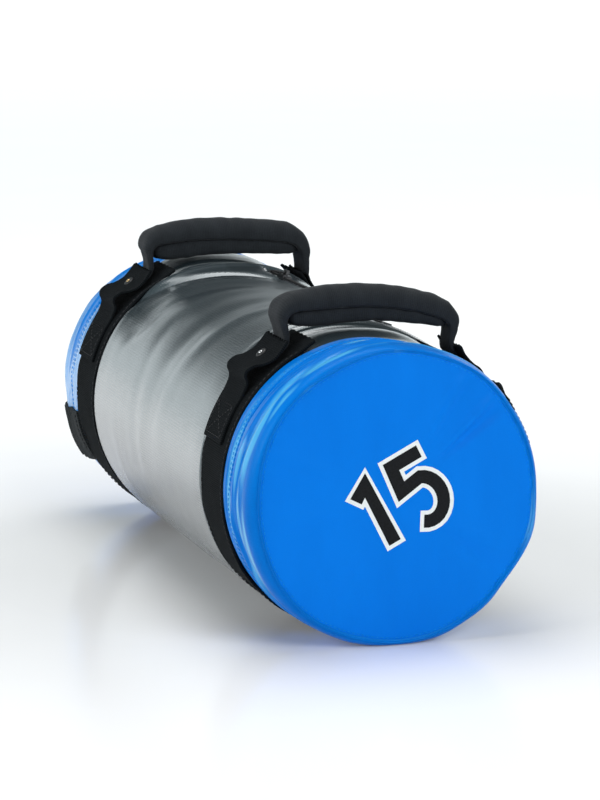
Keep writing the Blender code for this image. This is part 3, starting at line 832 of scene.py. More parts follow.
def grid_object(name: str, grid: Points, around: bool = False,
                uv: Optional[Points] = None) -> bpy.types.Object:
    """A mesh through a grid of points, with UV coordinates in metres.

    Args:
        name: The piece's name.
        grid: Points as rows, columns and coordinates.
        around: Whether each row closes on itself.
        uv: Coordinates of the grid's points, one column more than the points where rows close.

    Returns:
        The new object, linked to the scene.
    """
    rows, columns = grid.shape[:2]
    indices = np.arange(rows * columns).reshape(rows, columns)
    lower, upper = indices[:-1], indices[1:]
    quads = np.stack([lower, np.roll(lower, -1, 1), np.roll(upper, -1, 1), upper], axis=-1)
    if not around:
        quads = quads[:, :-1]
    mesh = bpy.data.meshes.new(name)
    mesh.from_pydata(grid.reshape(-1, 3).tolist(), [], quads.reshape(-1, 4).tolist())
    if uv is not None:
        low, top = uv[:-1], uv[1:]
        loops = np.stack([low[:, :-1], low[:, 1:], top[:, 1:], top[:, :-1]], axis=2)
        layer = mesh.uv_layers.new(name="cloth")
        layer.data.foreach_set("uv", loops.reshape(-1).astype(np.float32))
    mesh.shade_smooth()
    return linked(name, mesh)


def measured_uv(grid: Points, around: bool) -> Points:
    """UV coordinates in metres that follow a grid's own lengths.

    Args:
        grid: Points as rows, columns and coordinates.
        around: Whether each row closes on itself.

    Returns:
        U along the rows' index and V along the columns', with a closing column where rows close.
    """
    if around:
        grid = np.concatenate([grid, grid[:, :1]], axis=1)
    down = np.linalg.norm(np.diff(grid, axis=0), axis=-1).mean(axis=1)
    across = np.linalg.norm(np.diff(grid, axis=1), axis=-1).mean(axis=0)
    u = np.concatenate([[0.0], np.cumsum(down)])
    v = np.concatenate([[0.0], np.cumsum(across)])
    return np.stack(np.meshgrid(u, v, indexing="ij"), axis=-1)


def cloth_sheet(name: str, grid: Points, around: bool = False, thickness: float = 0.0,
                round_edges: float = 0.0) -> bpy.types.Object:
    """A sheet of cloth or webbing through a grid, thickened inwards.

    Args:
        name: The piece's name.
        grid: Points as rows, columns and coordinates, with their normals pointing out.
        around: Whether each row closes on itself.
        thickness: Thickness of the cloth.
        round_edges: Bevel width of the cut edges.

    Returns:
        The new object.
    """
    made = grid_object(name, grid, around, uv=measured_uv(grid, around))
    if thickness:
        shell = made.modifiers.new("thickness", 'SOLIDIFY')
        shell.thickness = thickness
        shell.offset = -1.0
        shell.use_even_offset = True
    if round_edges:
        bevel = made.modifiers.new("rounded_edges", 'BEVEL')
        bevel.width = round_edges
        bevel.segments = 2
        bevel.limit_method = 'ANGLE'
        bevel.angle_limit = radians(50)
    return made


def stitch_rows(name: str, rows: Sequence[tuple[Points, Points]], length: float = 0.0024,
                gap: float = 0.0011, thread: float = 0.0004) -> bpy.types.Object:
    """Rows of thread stitches as one piece: short rounded grains end to end.

    Args:
        name: The piece's name.
        rows: For each row, the points of its line and the outward normal at each.
        length: Length of one stitch.
        gap: Distance between stitches.
        thread: Radius of the thread.

    Returns:
        The new object.
    """
    shares = np.array([-0.5, -0.32, 0.0, 0.32, 0.5])
    swells = np.array([0.25, 0.85, 1.0, 0.85, 0.25])
    sides = np.arange(STITCH_SIDES) * 2 * pi / STITCH_SIDES
    grains, faces = [], []
    for line, normals in rows:
        run = run_lengths(line)
        count = max(1, int(run[-1] // (length + gap)))
        places = (np.arange(count) + 0.5) * run[-1] / count
        at = sampled(line, run, places)
        out = unit(sampled(normals, run, places))
        along = unit(sampled(line, run, places + length / 2) - sampled(line, run, places - length / 2))
        across = np.cross(out, along)
        rings = at[:, None, None] + along[:, None, None] * (shares * length)[None, :, None, None] + thread * (
            across[:, None, None] * np.cos(sides)[None, None, :, None]
            + out[:, None, None] * np.sin(sides)[None, None, :, None]) * swells[None, :, None, None]
        start = sum(len(g) for g in grains)
        block = len(shares) * STITCH_SIDES
        within = np.arange(block).reshape(1, len(shares), STITCH_SIDES)
        index = start + np.arange(count)[:, None, None] * block + within
        walls = np.stack([index[:, :-1], np.roll(index[:, :-1], -1, 2), np.roll(index[:, 1:], -1, 2),
                          index[:, 1:]], axis=-1)
        faces += walls.reshape(-1, 4).tolist()
        faces += index[:, 0, ::-1].tolist() + index[:, -1].tolist()
        grains.append(rings.reshape(-1, 3))
    mesh = bpy.data.meshes.new(name)
    mesh.from_pydata(np.concatenate(grains).tolist(), [], faces)
    mesh.shade_smooth()
    return linked(name, mesh)


def close_ends(piece: bpy.types.Object) -> None:
    """Fill a tube's open ends and turn its faces outwards.

    Args:
        piece: The tube.
    """
    work = bmesh.new()
    work.from_mesh(piece.data)
    bmesh.ops.holes_fill(work, edges=[edge for edge in work.edges if edge.is_boundary])
    bmesh.ops.recalc_face_normals(work, faces=work.faces)
    for face in work.faces:
        face.smooth = True
    work.to_mesh(piece.data)
    work.free()


def ring_normals(angle: Points) -> Points:
    """Directions straight out of the bag at these angles."""
    return np.stack([np.zeros_like(angle), np.sin(angle), np.cos(angle)], axis=-1)


def smooth_path(points: Sequence[tuple[float, float]], count: int) -> Points:
    """A smooth plane curve through a few points, with evenly spaced samples.

    Args:
        points: The points to pass through.
        count: Number of samples less one.

    Returns:
        The samples, two coordinates each.
    """
    knots = np.array(points, float)
    chords = np.sqrt(np.linalg.norm(np.diff(knots, axis=0), axis=1))
    times = np.concatenate([[0.0], np.cumsum(chords)])
    slopes = np.gradient(knots, times, axis=0)
    fine = []
    for i in range(len(knots) - 1):
        span = times[i + 1] - times[i]
        s = np.linspace(0, 1, 40, endpoint=i == len(knots) - 2)[:, None]
        fine.append((2 * s ** 3 - 3 * s ** 2 + 1) * knots[i] + (s ** 3 - 2 * s ** 2 + s) * span * slopes[i]
                    + (3 * s ** 2 - 2 * s ** 3) * knots[i + 1] + (s ** 3 - s ** 2) * span * slopes[i + 1])
    fine = np.concatenate(fine)
    run = run_lengths(fine)
    return sampled(fine, run, np.linspace(0.0, run[-1], count + 1))


def path_normals(path: Points) -> Points:
    """Normals of a plane path, to the left of its direction."""
    return left_of(unit(np.gradient(path, axis=0)))


def left_of(run: Points) -> Points:
    """Plane directions turned a quarter to the left."""
    return np.stack([-run[:, 1], run[:, 0]], axis=1)


def dress(piece: bpy.types.Object, finish: object, slot: str, *nodes: str) -> None:
    """Give a piece its finish, and let it stand for solid nodes.

    Args:
        piece: The piece.
        finish: Its finish.
        slot: The record's material slot; not used.
        nodes: Solid nodes that it stands for.
    """
    WARDROBE.wear(piece, finish)
    if nodes:
        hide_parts(*nodes)
    log.info("%s: %d vertices, %s", piece.name, len(piece.data.vertices), finish.name)


def dress_on_bag(piece: bpy.types.Object, finish: object, slot: str, *nodes: str) -> None:
    """Dress a piece that stays on the bag.

    Args:
        piece: The piece.
        finish: Its finish.
        slot: The record's material slot.
        nodes: Solid nodes that it stands for.
    """
    dress(piece, finish, slot, *nodes)
    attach(piece, "bag")


def keep_solid(node: bpy.types.Object, finish: object) -> None:
    """Finish a solid node that keeps its own shape."""
    WARDROBE.wear(node, finish)
    log.info("%s: solid kept, %s", node.name, finish.name)


@dataclass(frozen=True)
class Swelling:
    """A short cloth simulation that lets a padded cover fill out and crease over its foam."""

    pressure: float = 4.0
    frames: int = 20
    reach: float = 0.0030
    mass: float = 0.25
    stiffness: float = 12.0
    shear: float = 6.0
    bending: float = 2.0
    quality: int = 6

    def run(self, piece: bpy.types.Object, held: Sequence[float]) -> None:
        """Swell a mesh and keep the result as its shape.

        Args:
            piece: The object, still without a parent, with its final vertices.
            held: For each vertex, 1 where it is held still and 0 where it is free.
        """
        group = piece.vertex_groups.new(name="held")
        for index, share in enumerate(held):
            if share > 0.01:
                group.add([index], float(share), 'REPLACE')
        cloth = piece.modifiers.new("swelling", 'CLOTH')
        settings = cloth.settings
        settings.quality = self.quality
        settings.mass = self.mass
        settings.tension_stiffness = self.stiffness
        settings.compression_stiffness = self.stiffness
        settings.shear_stiffness = self.shear
        settings.bending_stiffness = self.bending
        settings.use_pressure = True
        settings.uniform_pressure_force = self.pressure
        settings.effector_weights.gravity = 0.0
        settings.vertex_group_mass = group.name
        cloth.collision_settings.use_collision = False
        cloth.point_cache.frame_start = 1
        cloth.point_cache.frame_end = self.frames
        scene = bpy.context.scene
        start = self.places(piece.data)
        for frame in range(1, self.frames + 1):
            scene.frame_set(frame)
        swollen = piece.evaluated_get(bpy.context.evaluated_depsgraph_get())
        moved = self.places(swollen.data) - start
        piece.modifiers.remove(cloth)
        piece.vertex_groups.remove(group)
        scene.frame_set(1)
        length = np.linalg.norm(moved, axis=1, keepdims=True)
        kept = self.reach * np.tanh(length / self.reach) / np.maximum(length, 1e-9)
        piece.data.vertices.foreach_set("co", (start + moved * kept).reshape(-1).astype(np.float32))
        piece.data.update()
        log.info("%s: swollen by up to %.1f mm", piece.name, 1000 * float((length * kept).max()))

    def places(self, mesh: bpy.types.Mesh) -> Points:
        """The mesh's vertices as rows of coordinates.

        Args:
            mesh: The mesh.

        Returns:
            One row for each vertex.
        """
        flat = np.empty(len(mesh.vertices) * 3, np.float32)
        mesh.vertices.foreach_get("co", flat)
        return flat.reshape(-1, 3).astype(float)


FOAM_SWELLING = Swelling()


@dataclass
class BodyTube:
    """The grey tube: drawn in under the straps, slack along its crown, folded beside the straps."""

    rows: int = 340
    columns: int = 320
    cloth: float = 0.0012
    groove: float = 0.0023
    fullness: float = 0.0012
    slack: float = 0.0024
    slack_at: float = radians(31)
    slack_reach: float = radians(17)
    edge: float = 0.0022
    swell: float = 0.0022
    swell_from: float = -0.098
    swell_fade: float = 0.008
    near_crown: float = 0.0030
    zip_slot: float = 0.0080
    zip_depth: float = 0.0026
    random_folds: int = 60
    far_crown: tuple = ((0.1418, 2.6), (0.1470, 4.2), (0.1530, 3.0), (0.1580, 2.7), (0.1650, 4.2), (0.1750, 5.4),
                        (0.1850, 6.2), (0.1928, 6.0))

    def folds(self) -> list[Fold]:
        """The folds seen beside the straps, and softer random ones over the rest.

        Returns:
            The folds.
        """
        inner = FORM.strap_inner
        made = Fold.table(((-inner + 0.0055, 0, 0.0060, 46, 0.0018, 0.0),
                           (-0.1040, -45, 0.0240, 13, -0.0026, 0.0),
                           (-0.1120, -12, 0.0054, 34, -0.0038, 0.050),
                           (-0.0990, -8, 0.0070, 34, 0.0006, 0.050),
                           (-inner + 0.0380, -12, 0.0070, 30, -0.0012, 0.045),
                           (-inner + 0.0540, -20, 0.0085, 28, 0.0008, 0.060),
                           (-inner + 0.0720, -34, 0.0100, 28, -0.0008, 0.060),
                           (inner - 0.0060, 4, 0.0040, 42, 0.0024, 0.0),
                           (inner - 0.0135, 4, 0.0032, 36, -0.0030, -0.004),
                           (inner - 0.0215, 0, 0.0045, 34, 0.0014, -0.006),
                           (inner - 0.0320, 6, 0.0055, 28, -0.0010, -0.010),
                           (0.020, -34, 0.0140, 34, -0.0008, 0.020),
                           (0.052, -26, 0.0120, 30, 0.0008, 0.012),
                           (-0.030, -20, 0.0130, 30, 0.0007, 0.035)))
        chance = np.random.default_rng(15)
        for _ in range(self.random_folds):
            made.append(Fold(chance.uniform(-0.125, 0.125), chance.uniform(-pi, pi), chance.uniform(0.006, 0.018),
                             radians(chance.uniform(16, 48)), chance.normal(0.0, 0.00024),
                             chance.uniform(-0.020, 0.020)))
        return made

    def lift(self, x: Points, angle: Points) -> Points:
        """Height of the cloth over the plain outline.

        Args:
            x: Places along the bag.
            angle: Angles round the bag.

        Returns:
            The height, negative in the groove under a strap.
        """
        inner = FORM.strap_inner
        from_crown = off_angle(angle, FORM.roll)
        full = self.fullness * np.sqrt(np.clip(1 - (x / inner) ** 2, 0.0, 1.0))
        full = full * np.clip(np.abs(from_crown) / radians(60), 0.0, 1.0)
        near_part = 1 / (1 + np.exp(-(x - self.swell_from) / self.swell_fade))
        full = full - self.slack * near_part * hump(angle - self.slack_at, self.slack_reach)
        full = full + self.swell * (1 - near_part) * hump(angle - radians(22), radians(26))
        under = np.clip((np.abs(x) - inner + self.edge) / self.edge, 0.0, 1.0)
        rise = full * (1 - under) - self.groove * under
        loose = np.exp(-(from_crown / radians(26)) ** 6)
        off_middle = np.abs(x) - FORM.strap_centre(End.NEAR)
        near_bulge = self.near_crown * np.cos(off_middle / STRAP_HALF * pi / 2) ** 2
        far_bulge = np.interp(np.abs(x), *zip(*self.far_crown)) / 1000
        total = rise + loose * under * np.where(x > 0, near_bulge, far_bulge)
        for fold in self.folds():
            total = total + fold.lift(x, angle)
        off_zip = FORM.radius * np.abs(off_angle(angle, ZIP_ANGLE))
        along = np.clip((ZIP_HALF + 0.004 - np.abs(x)) / 0.004, 0.0, 1.0)
        near_zip = along * np.clip(1.6 - off_zip / self.zip_slot, 0.0, 1.0)
        total = total * (1 - near_zip) + near_zip * 0.0002
        slot = along * np.clip((self.zip_slot / 2 + 0.0006 - off_zip) / 0.0012, 0.0, 1.0)
        return total - self.zip_depth * slot

    def build(self) -> None:
        """Make the tube and let it stand for its solid."""
        x = turn_steps(-FORM.strap_outer - 0.001, FORM.strap_outer + 0.001, self.rows)[:, None]
        angle = (np.arange(self.columns) * 2 * pi / self.columns)[None, :]
        x, angle = np.broadcast_arrays(x, angle)
        grid = FORM.place(x, angle, self.lift(x, off_angle(angle, 0.0)))
        body = cloth_sheet("body_cloth", grid[:, ::-1], around=True, thickness=self.cloth)
        dress_on_bag(body, GREY_CLOTH, "grey_coated_cloth", "body_shell")


@dataclass
class InnerBag:
    """The inner bag with its tied neck, and the filling: pressed in wherever the outer cloth is dented."""

    depth: float = 0.0056
    skin: float = 0.0011
    cap_radius: float = 0.0975
    end_round: float = 0.012
    end_share: float = 0.5
    neck_radius: float = 0.012
    neck_length: float = 0.008
    step: float = 0.006
    floor_room: float = 0.0026
    rows: int = 180
    columns: int = 180

    def radius(self, x: Points, angle: Points, depth: float) -> Points:
        """Radius of a layer of the inner bag: under the outer cloth, and under the cap sleeves past the straps.

        Args:
            x: Places along the bag.
            angle: Angles round the bag.
            depth: Depth of the layer under the cloth's outside.

        Returns:
            The radius at each place.
        """
        inside = np.clip(x, -FORM.strap_outer, FORM.strap_outer)
        tube = FORM.outline(inside, angle) + BodyTube().lift(inside, angle) - depth
        past = np.clip((np.abs(x) - FORM.strap_outer + self.step) / self.step, 0.0, 1.0)
        return tube + past * (np.minimum(tube, self.cap_radius - depth) - tube)

    def layer(self, name: str, ends: tuple[float, float], depth: float, neck: float) -> bpy.types.Object:
        """One closed layer of the inner bag.

        Args:
            name: The piece's name.
            ends: Distances of its far and near ends from the bag's middle.
            depth: Depth under the outer cloth.
            neck: Length of the neck on its near end, or nothing.

        Returns:
            The piece.
        """
        start, stop = ends
        x = np.linspace(start, stop, self.rows)
        off = np.clip(np.minimum(x - start, stop - x) / self.end_round, 0.0, 1.0)
        share = self.end_share + (1 - self.end_share) * np.sqrt(1 - (1 - off) ** 2)
        angle = np.arange(self.columns) * 2 * pi / self.columns - pi
        radius = self.radius(x[:, None], angle[None, :], depth) * share[:, None]
        if neck:
            x = np.concatenate([x, [stop, stop + neck]])
            radius = np.concatenate([radius, np.full((2, self.columns), self.neck_radius)])
        height = np.maximum(FORM.axis_height + radius * np.cos(angle), depth - self.floor_room)
        grid = np.stack([np.broadcast_to(x[:, None], radius.shape), radius * np.sin(angle), height], axis=-1)
        piece = grid_object(name, grid, around=True)
        close_ends(piece)
        return piece

    def build(self) -> None:
        """Make both layers in the places of their solids."""
        for name, node, finish, slot, depth, neck in (
                ("inner_bag", "inner_liner", LINER, "liner_cloth", self.depth, self.neck_length),
                ("filling_core", "filling", GRANULES, "granules", self.depth + self.skin, 0.0)):
            low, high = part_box(node)
            piece = self.layer(name, (low[0], high[0] - neck), depth, neck)
            dress_on_bag(piece, finish, slot, node)


@dataclass
class EndCap:
    """A blue cap: wrinkled sleeve, rounded shoulder, and the round end panel sewn into it."""

    end: End
    cloth: float = 0.0012
    seam_x: float = 0.0150
    puff: float = 0.0008
    calm_reach: float = 0.007
    groove: float = 0.0009
    groove_reach: float = 0.0013
    pucker: float = 0.00022
    pucker_reach: float = 0.0075
    panel_set_back: float = 0.0004
    pad_back: float = 0.2346
    pad_room: float = 0.0034
    columns: int = 360
    random_creases: int = 34
    seam_stitch: float = 0.0018
    panel_tuck: float = 0.0006
    panel_stitch: float = 0.974
    stitch_lift: float = 0.0001
    creases: tuple = ((0.0260, -75, 0.0030, 34, 0.0012, 0.006), (0.0320, -62, 0.0024, 26, -0.0013, 0.010),
                      (0.0380, -70, 0.0030, 30, 0.0011, 0.008), (0.0080, -84, 0.0026, 30, 0.0010, 0.004),
                      (0.0300, -118, 0.0022, 26, 0.0015, -0.020), (0.0250, -112, 0.0020, 30, -0.0013, -0.024),
                      (0.0380, -128, 0.0024, 24, -0.0014, -0.018), (0.0290, -24, 0.0034, 24, 0.0012, -0.014),
                      (0.0350, -10, 0.0026, 22, -0.0011, -0.016), (0.0250, -14, 0.0022, 26, -0.0010, -0.012),
                      (0.0330, 20, 0.0030, 24, 0.0010, 0.014))
    panel_creases: tuple = ((31, 2.4, 0.0016), (47, 2.2, 0.0020), (52, 3.0, -0.0018), (-100, 4.0, 0.0006),
                            (-150, 4.0, -0.0008), (-68, 5.0, 0.0008), (118, 4.5, 0.0012), (128, 4.0, -0.0010))
    turned_in: tuple = ((-0.0005, -0.0004), (-0.0006, 0.0001), (0.0000, 0.0006), (0.0018, 0.0010),
                        (0.0030, 0.0012))

    @property
    def form(self) -> CapForm:
        """This cap's outline."""
        return NEAR_CAP if self.end is End.NEAR else FAR_CAP

    @property
    def angles(self) -> Points:
        """Angles of the cap's columns round the bag."""
        return np.arange(self.columns) * 2 * pi / self.columns

    def wrinkles(self) -> list[Fold]:
        """Seam ridges beside the strap and the creases that run slanting to the rim.

        Returns:
            The sleeve's folds.
        """
        start = FORM.strap_outer
        made = [
            Fold(start + self.seam_x - 0.0014, 0.0, 0.0009, ALL_ROUND, 0.0006),
            Fold(start + self.seam_x + 0.0014, 0.0, 0.0009, ALL_ROUND, 0.0006),
            Fold(start + self.seam_x, 0.0, 0.0035, ALL_ROUND, -0.0007),
        ]
        made += Fold.table(self.creases, start)
        chance = np.random.default_rng(7 if self.end is End.NEAR else 8)
        for _ in range(self.random_creases):
            made.append(Fold(start + chance.uniform(0.018, 0.046), chance.uniform(-pi, pi),
                             chance.uniform(0.0018, 0.0036), radians(chance.uniform(10, 28)),
                             chance.normal(0.0, 0.0005), chance.uniform(-0.02, 0.02)))
        return made

    def lift(self, x: Points, angle: Points) -> Points:
        """Height of the sleeve's puffing and wrinkles over the cap's outline.

        Args:
            x: Distances from the bag's middle.
            angle: Angles round the bag.

        Returns:
            The height.
        """
        turn = self.form.face - self.form.shoulder
        share = np.clip((x - FORM.strap_outer) / (turn - FORM.strap_outer), 0.0, 1.0)
        total = self.puff * np.sin(share * pi)
        calm = np.clip((self.form.face - x) / self.calm_reach, 0.0, 1.0)
        for wrinkle in self.wrinkles():
            total = total + wrinkle.lift(x, angle) * calm
        return total

    def sleeve_points(self, x: Points, angle: Points, height: Points = 0.0) -> Points:
        """Points on the sleeve, for the near end; the caller mirrors them for the far one.

        Args:
            x: Distances from the bag's middle.
            angle: Angles round the bag.
            height: Height above the sleeve's outside.

        Returns:
            Points, with the three coordinates on the last axis.
        """
        x, angle = np.broadcast_arrays(np.asarray(x, float), angle)
        return FORM.settle(x, angle, self.form.radius(x, angle) + self.lift(x, angle) + height, height)

    def seam_share(self, y: Points, z: Points) -> tuple[Points, Points]:
        """Where a place on the end panel lies: its share of the way to the seam, and its angle.

        Args:
            y: Distance across from the bag's middle plane.
            z: Height.

        Returns:
            The shares and the angles.
        """
        side, up = np.asarray(y, float), np.asarray(z, float) - FORM.axis_height
        angle = np.arctan2(side, up)
        return np.hypot(side, up) / (self.form.seam.at(angle) - self.panel_tuck), angle

    def panel_x(self, y: Points, z: Points) -> Points:
        """How far from the bag's middle the end panel's outside is.

        Args:
            y: Places across the bag.
            z: Heights above the floor.

        Returns:
            The distance at each place.
        """
        share, angle = self.seam_share(y, z)
        off_seam = -(1 - share) * (FORM.radius * 0.95)
        rise = self.form.crown * np.clip(1 - share ** 4, 0.0, 1.0)
        rise = rise - self.groove * np.exp(off_seam / self.groove_reach)
        puckers = np.sin(angle * 46) + 0.6 * np.sin(angle * 29 + 1.0)
        rise = rise + self.pucker * np.exp(off_seam / self.pucker_reach) * puckers
        zone = np.clip((share - 0.35) / 0.3, 0.0, 1.0) * np.clip((1.0 - share) / 0.12, 0.0, 1.0)
        for at, reach, depth in self.panel_creases:
            rise = rise + depth * zone * hump(off_angle(angle, radians(at)), radians(reach))
        return self.form.face - self.panel_set_back + rise

    def face_points(self, share: Points, angle: Points, lift: float = 0.0) -> Points:
        """Points of the end panel, for the near end; the caller mirrors them for the far one.

        Args:
            share: Shares of the way from the panel's middle to its seam.
            angle: Angles round the bag.
            lift: Height above the panel.

        Returns:
            Points, with the three coordinates on the last axis.
        """
        radius = (self.form.seam.at(angle) - self.panel_tuck) * share
        y, z = radius * np.sin(angle), FORM.axis_height + radius * np.cos(angle)
        return np.stack([self.panel_x(y, z) + lift, y, np.maximum(z, 0.0)], axis=-1)

    def build_sleeve(self) -> None:
        """The sleeve, over the shoulder and down into the seam, with a turned seam allowance."""
        angle, form = self.angles, self.form
        turn = form.face - form.shoulder
        places = list(turn_steps(FORM.strap_outer + 0.0004, turn, 58))
        places += [turn + form.shoulder * sin(t) for t in turn_steps(0.0, pi / 2, 18)[1:]]
        rows = [self.sleeve_points(np.full_like(angle, x), angle) for x in places]
        seam = form.seam.at(angle)
        for back, drop in self.turned_in:
            rows.append(FORM.settle(np.full_like(angle, form.face - back), angle, seam - drop, 0.0))
        grid = np.array(rows) * self.end.mirror
        if self.end is End.NEAR:
            grid = grid[:, ::-1]
        sleeve = cloth_sheet(f"{self.end.label}_sleeve_cloth", grid, around=True, thickness=self.cloth)
        # The far sleeve wears the lighter copy of the blue cloth, with its painted reflection
        finish = BLUE_CLOTH if self.end is End.NEAR else FAR_BLUE_CLOTH_PAINTED_LIGHT
        dress_on_bag(sleeve, finish, "blue_coated_cloth", f"{self.end.label}_cap_sleeve")

    def build_panel(self) -> None:
        """The round end panel, crowned, and softly puckered at its seam."""
        angle = self.angles[None, :]
        share = np.concatenate([np.linspace(1.0, 0.93, 16), np.linspace(0.92, 0.012, 44)])[:, None]
        share, angle = np.broadcast_arrays(share, angle)
        grid = self.face_points(share, angle)
        uv = grid[..., 1:]
        uv = np.concatenate([uv, uv[:, :1]], axis=1)
        grid = grid * self.end.mirror
        if self.end is End.NEAR:
            grid, uv = grid[:, ::-1], uv[:, ::-1]
        panel = grid_object(f"{self.end.label}_end_panel", grid, around=True, uv=uv)
        work = bmesh.new()
        work.from_mesh(panel.data)
        loose = [edge for edge in work.edges if edge.is_boundary]
        small = sorted(loose, key=lambda edge: hypot(edge.verts[0].co.y, edge.verts[0].co.z - FORM.axis_height))
        bmesh.ops.contextual_create(work, geom=small[:self.columns])
        for face in work.faces:
            face.smooth = True
        work.to_mesh(panel.data)
        work.free()
        dress_on_bag(panel, PANEL_CLOTH, "blue_end_panel", f"{self.end.label}_end_disc")

    def build_pad(self) -> None:
        """The stiff foam disc behind the panel, rounded like the cap that it fills."""
        angle, form, rows = self.angles, self.form, []
        for share in (0.05, 0.5, 0.9):
            radius = (form.radius(np.full_like(angle, self.pad_back), angle) - self.pad_room) * share
            rows.append(FORM.settle(np.full_like(angle, self.pad_back), angle, radius, -self.pad_room))
        for x in np.linspace(self.pad_back, form.face - 0.0024, 7):
            place = np.full_like(angle, x)
            rows.append(FORM.settle(place, angle, form.radius(place, angle) - self.pad_room, -self.pad_room))
        for share in (0.94, 0.8, 0.6, 0.4, 0.2, 0.05):
            front = self.face_points(np.full_like(angle, share), angle, -0.0016)
            front[:, 2] = np.maximum(front[:, 2], self.pad_room)
            rows.append(front)
        pad = grid_object(f"{self.end.label}_pad_foam", np.array(rows) * self.end.mirror, around=True)
        close_ends(pad)
        dress_on_bag(pad, FOAM, "foam", f"{self.end.label}_end_pad")

    def build_stitches(self) -> None:
        """A row of stitches round the panel and two along the sleeve's seam."""
        angle = np.linspace(0.0, 2 * pi, 720)
        flip = self.end.mirror
        face = np.zeros((len(angle), 3))
        face[:, 0] = self.end.value
        rows = [(self.face_points(np.full_like(angle, self.panel_stitch), angle, self.stitch_lift) * flip, face)]
        for offset in (-self.seam_stitch, self.seam_stitch):
            x = np.full_like(angle, FORM.strap_outer + self.seam_x + offset)
            rows.append((self.sleeve_points(x, angle, self.stitch_lift) * flip, ring_normals(angle)))
        stitches = stitch_rows(f"{self.end.label}_cap_stitches", rows, length=0.0022, gap=0.0012, thread=0.0003)
        dress_on_bag(stitches, BLUE_THREAD, "blue_coated_cloth")

    def build(self) -> None:
        """Make the whole cap."""
        self.build_sleeve()
        self.build_panel()
        self.build_pad()
        self.build_stitches()


@dataclass
class NumberPrint:
    """A plain two-figure number printed on the near end panel: black with a white edge."""

    cap: EndCap
    height: float = 0.050
    stroke: float = 0.0088
    edge: float = 0.0027
    tilt: float = radians(27)
    centre_side: float = 0.0035
    centre_up: float = -0.0015

    def strokes(self) -> list[list[tuple[float, float]]]:
        """Centre lines of the figures, as shares of their height.

        Returns:
            One line for each figure.
        """
        one = [(-0.56, 0.30), (-0.34, 0.46), (-0.34, -0.46)]
        bowl = [(0.27 + 0.26 * sin(t), -0.15 + 0.31 * cos(t)) for t in np.linspace(0.3, pi + 0.55, 16)]
        five = [(0.49, 0.46), (0.06, 0.46), (0.04, 0.10)] + bowl
        return [one, five]

    def outline(self, line: list[tuple[float, float]], half: float) -> Points:
        """The outline of a stroke of this half width round a centre line.

        Args:
            line: Points of the centre line in metres.
            half: Half the stroke's width.

        Returns:
            Points round the stroke.
        """
        points = np.array(line)
        run = unit(np.diff(points, axis=0))
        side = left_of(run)
        left, right = [points[0] + side[0] * half], [points[0] - side[0] * half]
        for k in range(1, len(points) - 1):
            joint = side[k - 1] + side[k]
            outer = np.sign(run[k - 1, 0] * run[k, 1] - run[k - 1, 1] * run[k, 0])
            sharp, blunt = joint / max(0.35, joint @ side[k]), joint / max(0.62, joint @ side[k])
            left.append(points[k] + (blunt if outer < 0 else sharp) * half)
            right.append(points[k] - (blunt if outer > 0 else sharp) * half)
        left.append(points[-1] + side[-1] * half)
        right.append(points[-1] - side[-1] * half)
        return np.array(left + right[::-1])

    def layer(self, name: str, grow: float, lift: float, finish: object) -> None:
        """One printed layer of the number, laid on the panel.

        Args:
            name: The piece's name.
            grow: How far the layer reaches past the figures' strokes.
            lift: Height above the panel.
            finish: The print's finish.
        """
        work = bmesh.new()
        for line in self.strokes():
            points = np.array(line) * self.height
            start, end = points[0] - points[1], points[-1] - points[-2]
            points[0] += start / np.linalg.norm(start) * grow
            points[-1] += end / np.linalg.norm(end) * grow
            ring = self.outline([tuple(p) for p in points], self.stroke / 2 + grow)
            count = len(ring) // 2
            left = [work.verts.new((0.0, p[0], p[1])) for p in ring[:count]]
            right = [work.verts.new((0.0, p[0], p[1])) for p in ring[count:][::-1]]
            for k in range(count - 1):
                work.faces.new((left[k], left[k + 1], right[k + 1], right[k]))
        reach = self.height
        for k in np.arange(-reach, reach, 0.004):
            for normal, at in (((0, 1, 0), (0, k, 0)), ((0, 0, 1), (0, 0, k))):
                bmesh.ops.bisect_plane(work, geom=work.verts[:] + work.edges[:] + work.faces[:],
                                       plane_co=at, plane_no=normal)
        for vert in work.verts:
            side, up = vert.co.y, vert.co.z
            y = self.centre_side + side * cos(self.tilt) - up * sin(self.tilt)
            z = FORM.axis_height + self.centre_up + side * sin(self.tilt) + up * cos(self.tilt)
            vert.co = (float(self.cap.panel_x(y, z)) + lift, y, z)
        bmesh.ops.recalc_face_normals(work, faces=work.faces)
        mesh = bpy.data.meshes.new(name)
        work.to_mesh(mesh)
        work.free()
        made = linked(name, mesh)
        dress_on_bag(made, finish, "blue_end_panel")

    def build(self) -> None:
        """Print the white edge, then the black figures on it."""
        self.layer("number_edge", self.edge, 0.00010, PRINT_WHITE)
        self.layer("number_figures", 0.0, 0.00022, PRINT_BLACK)


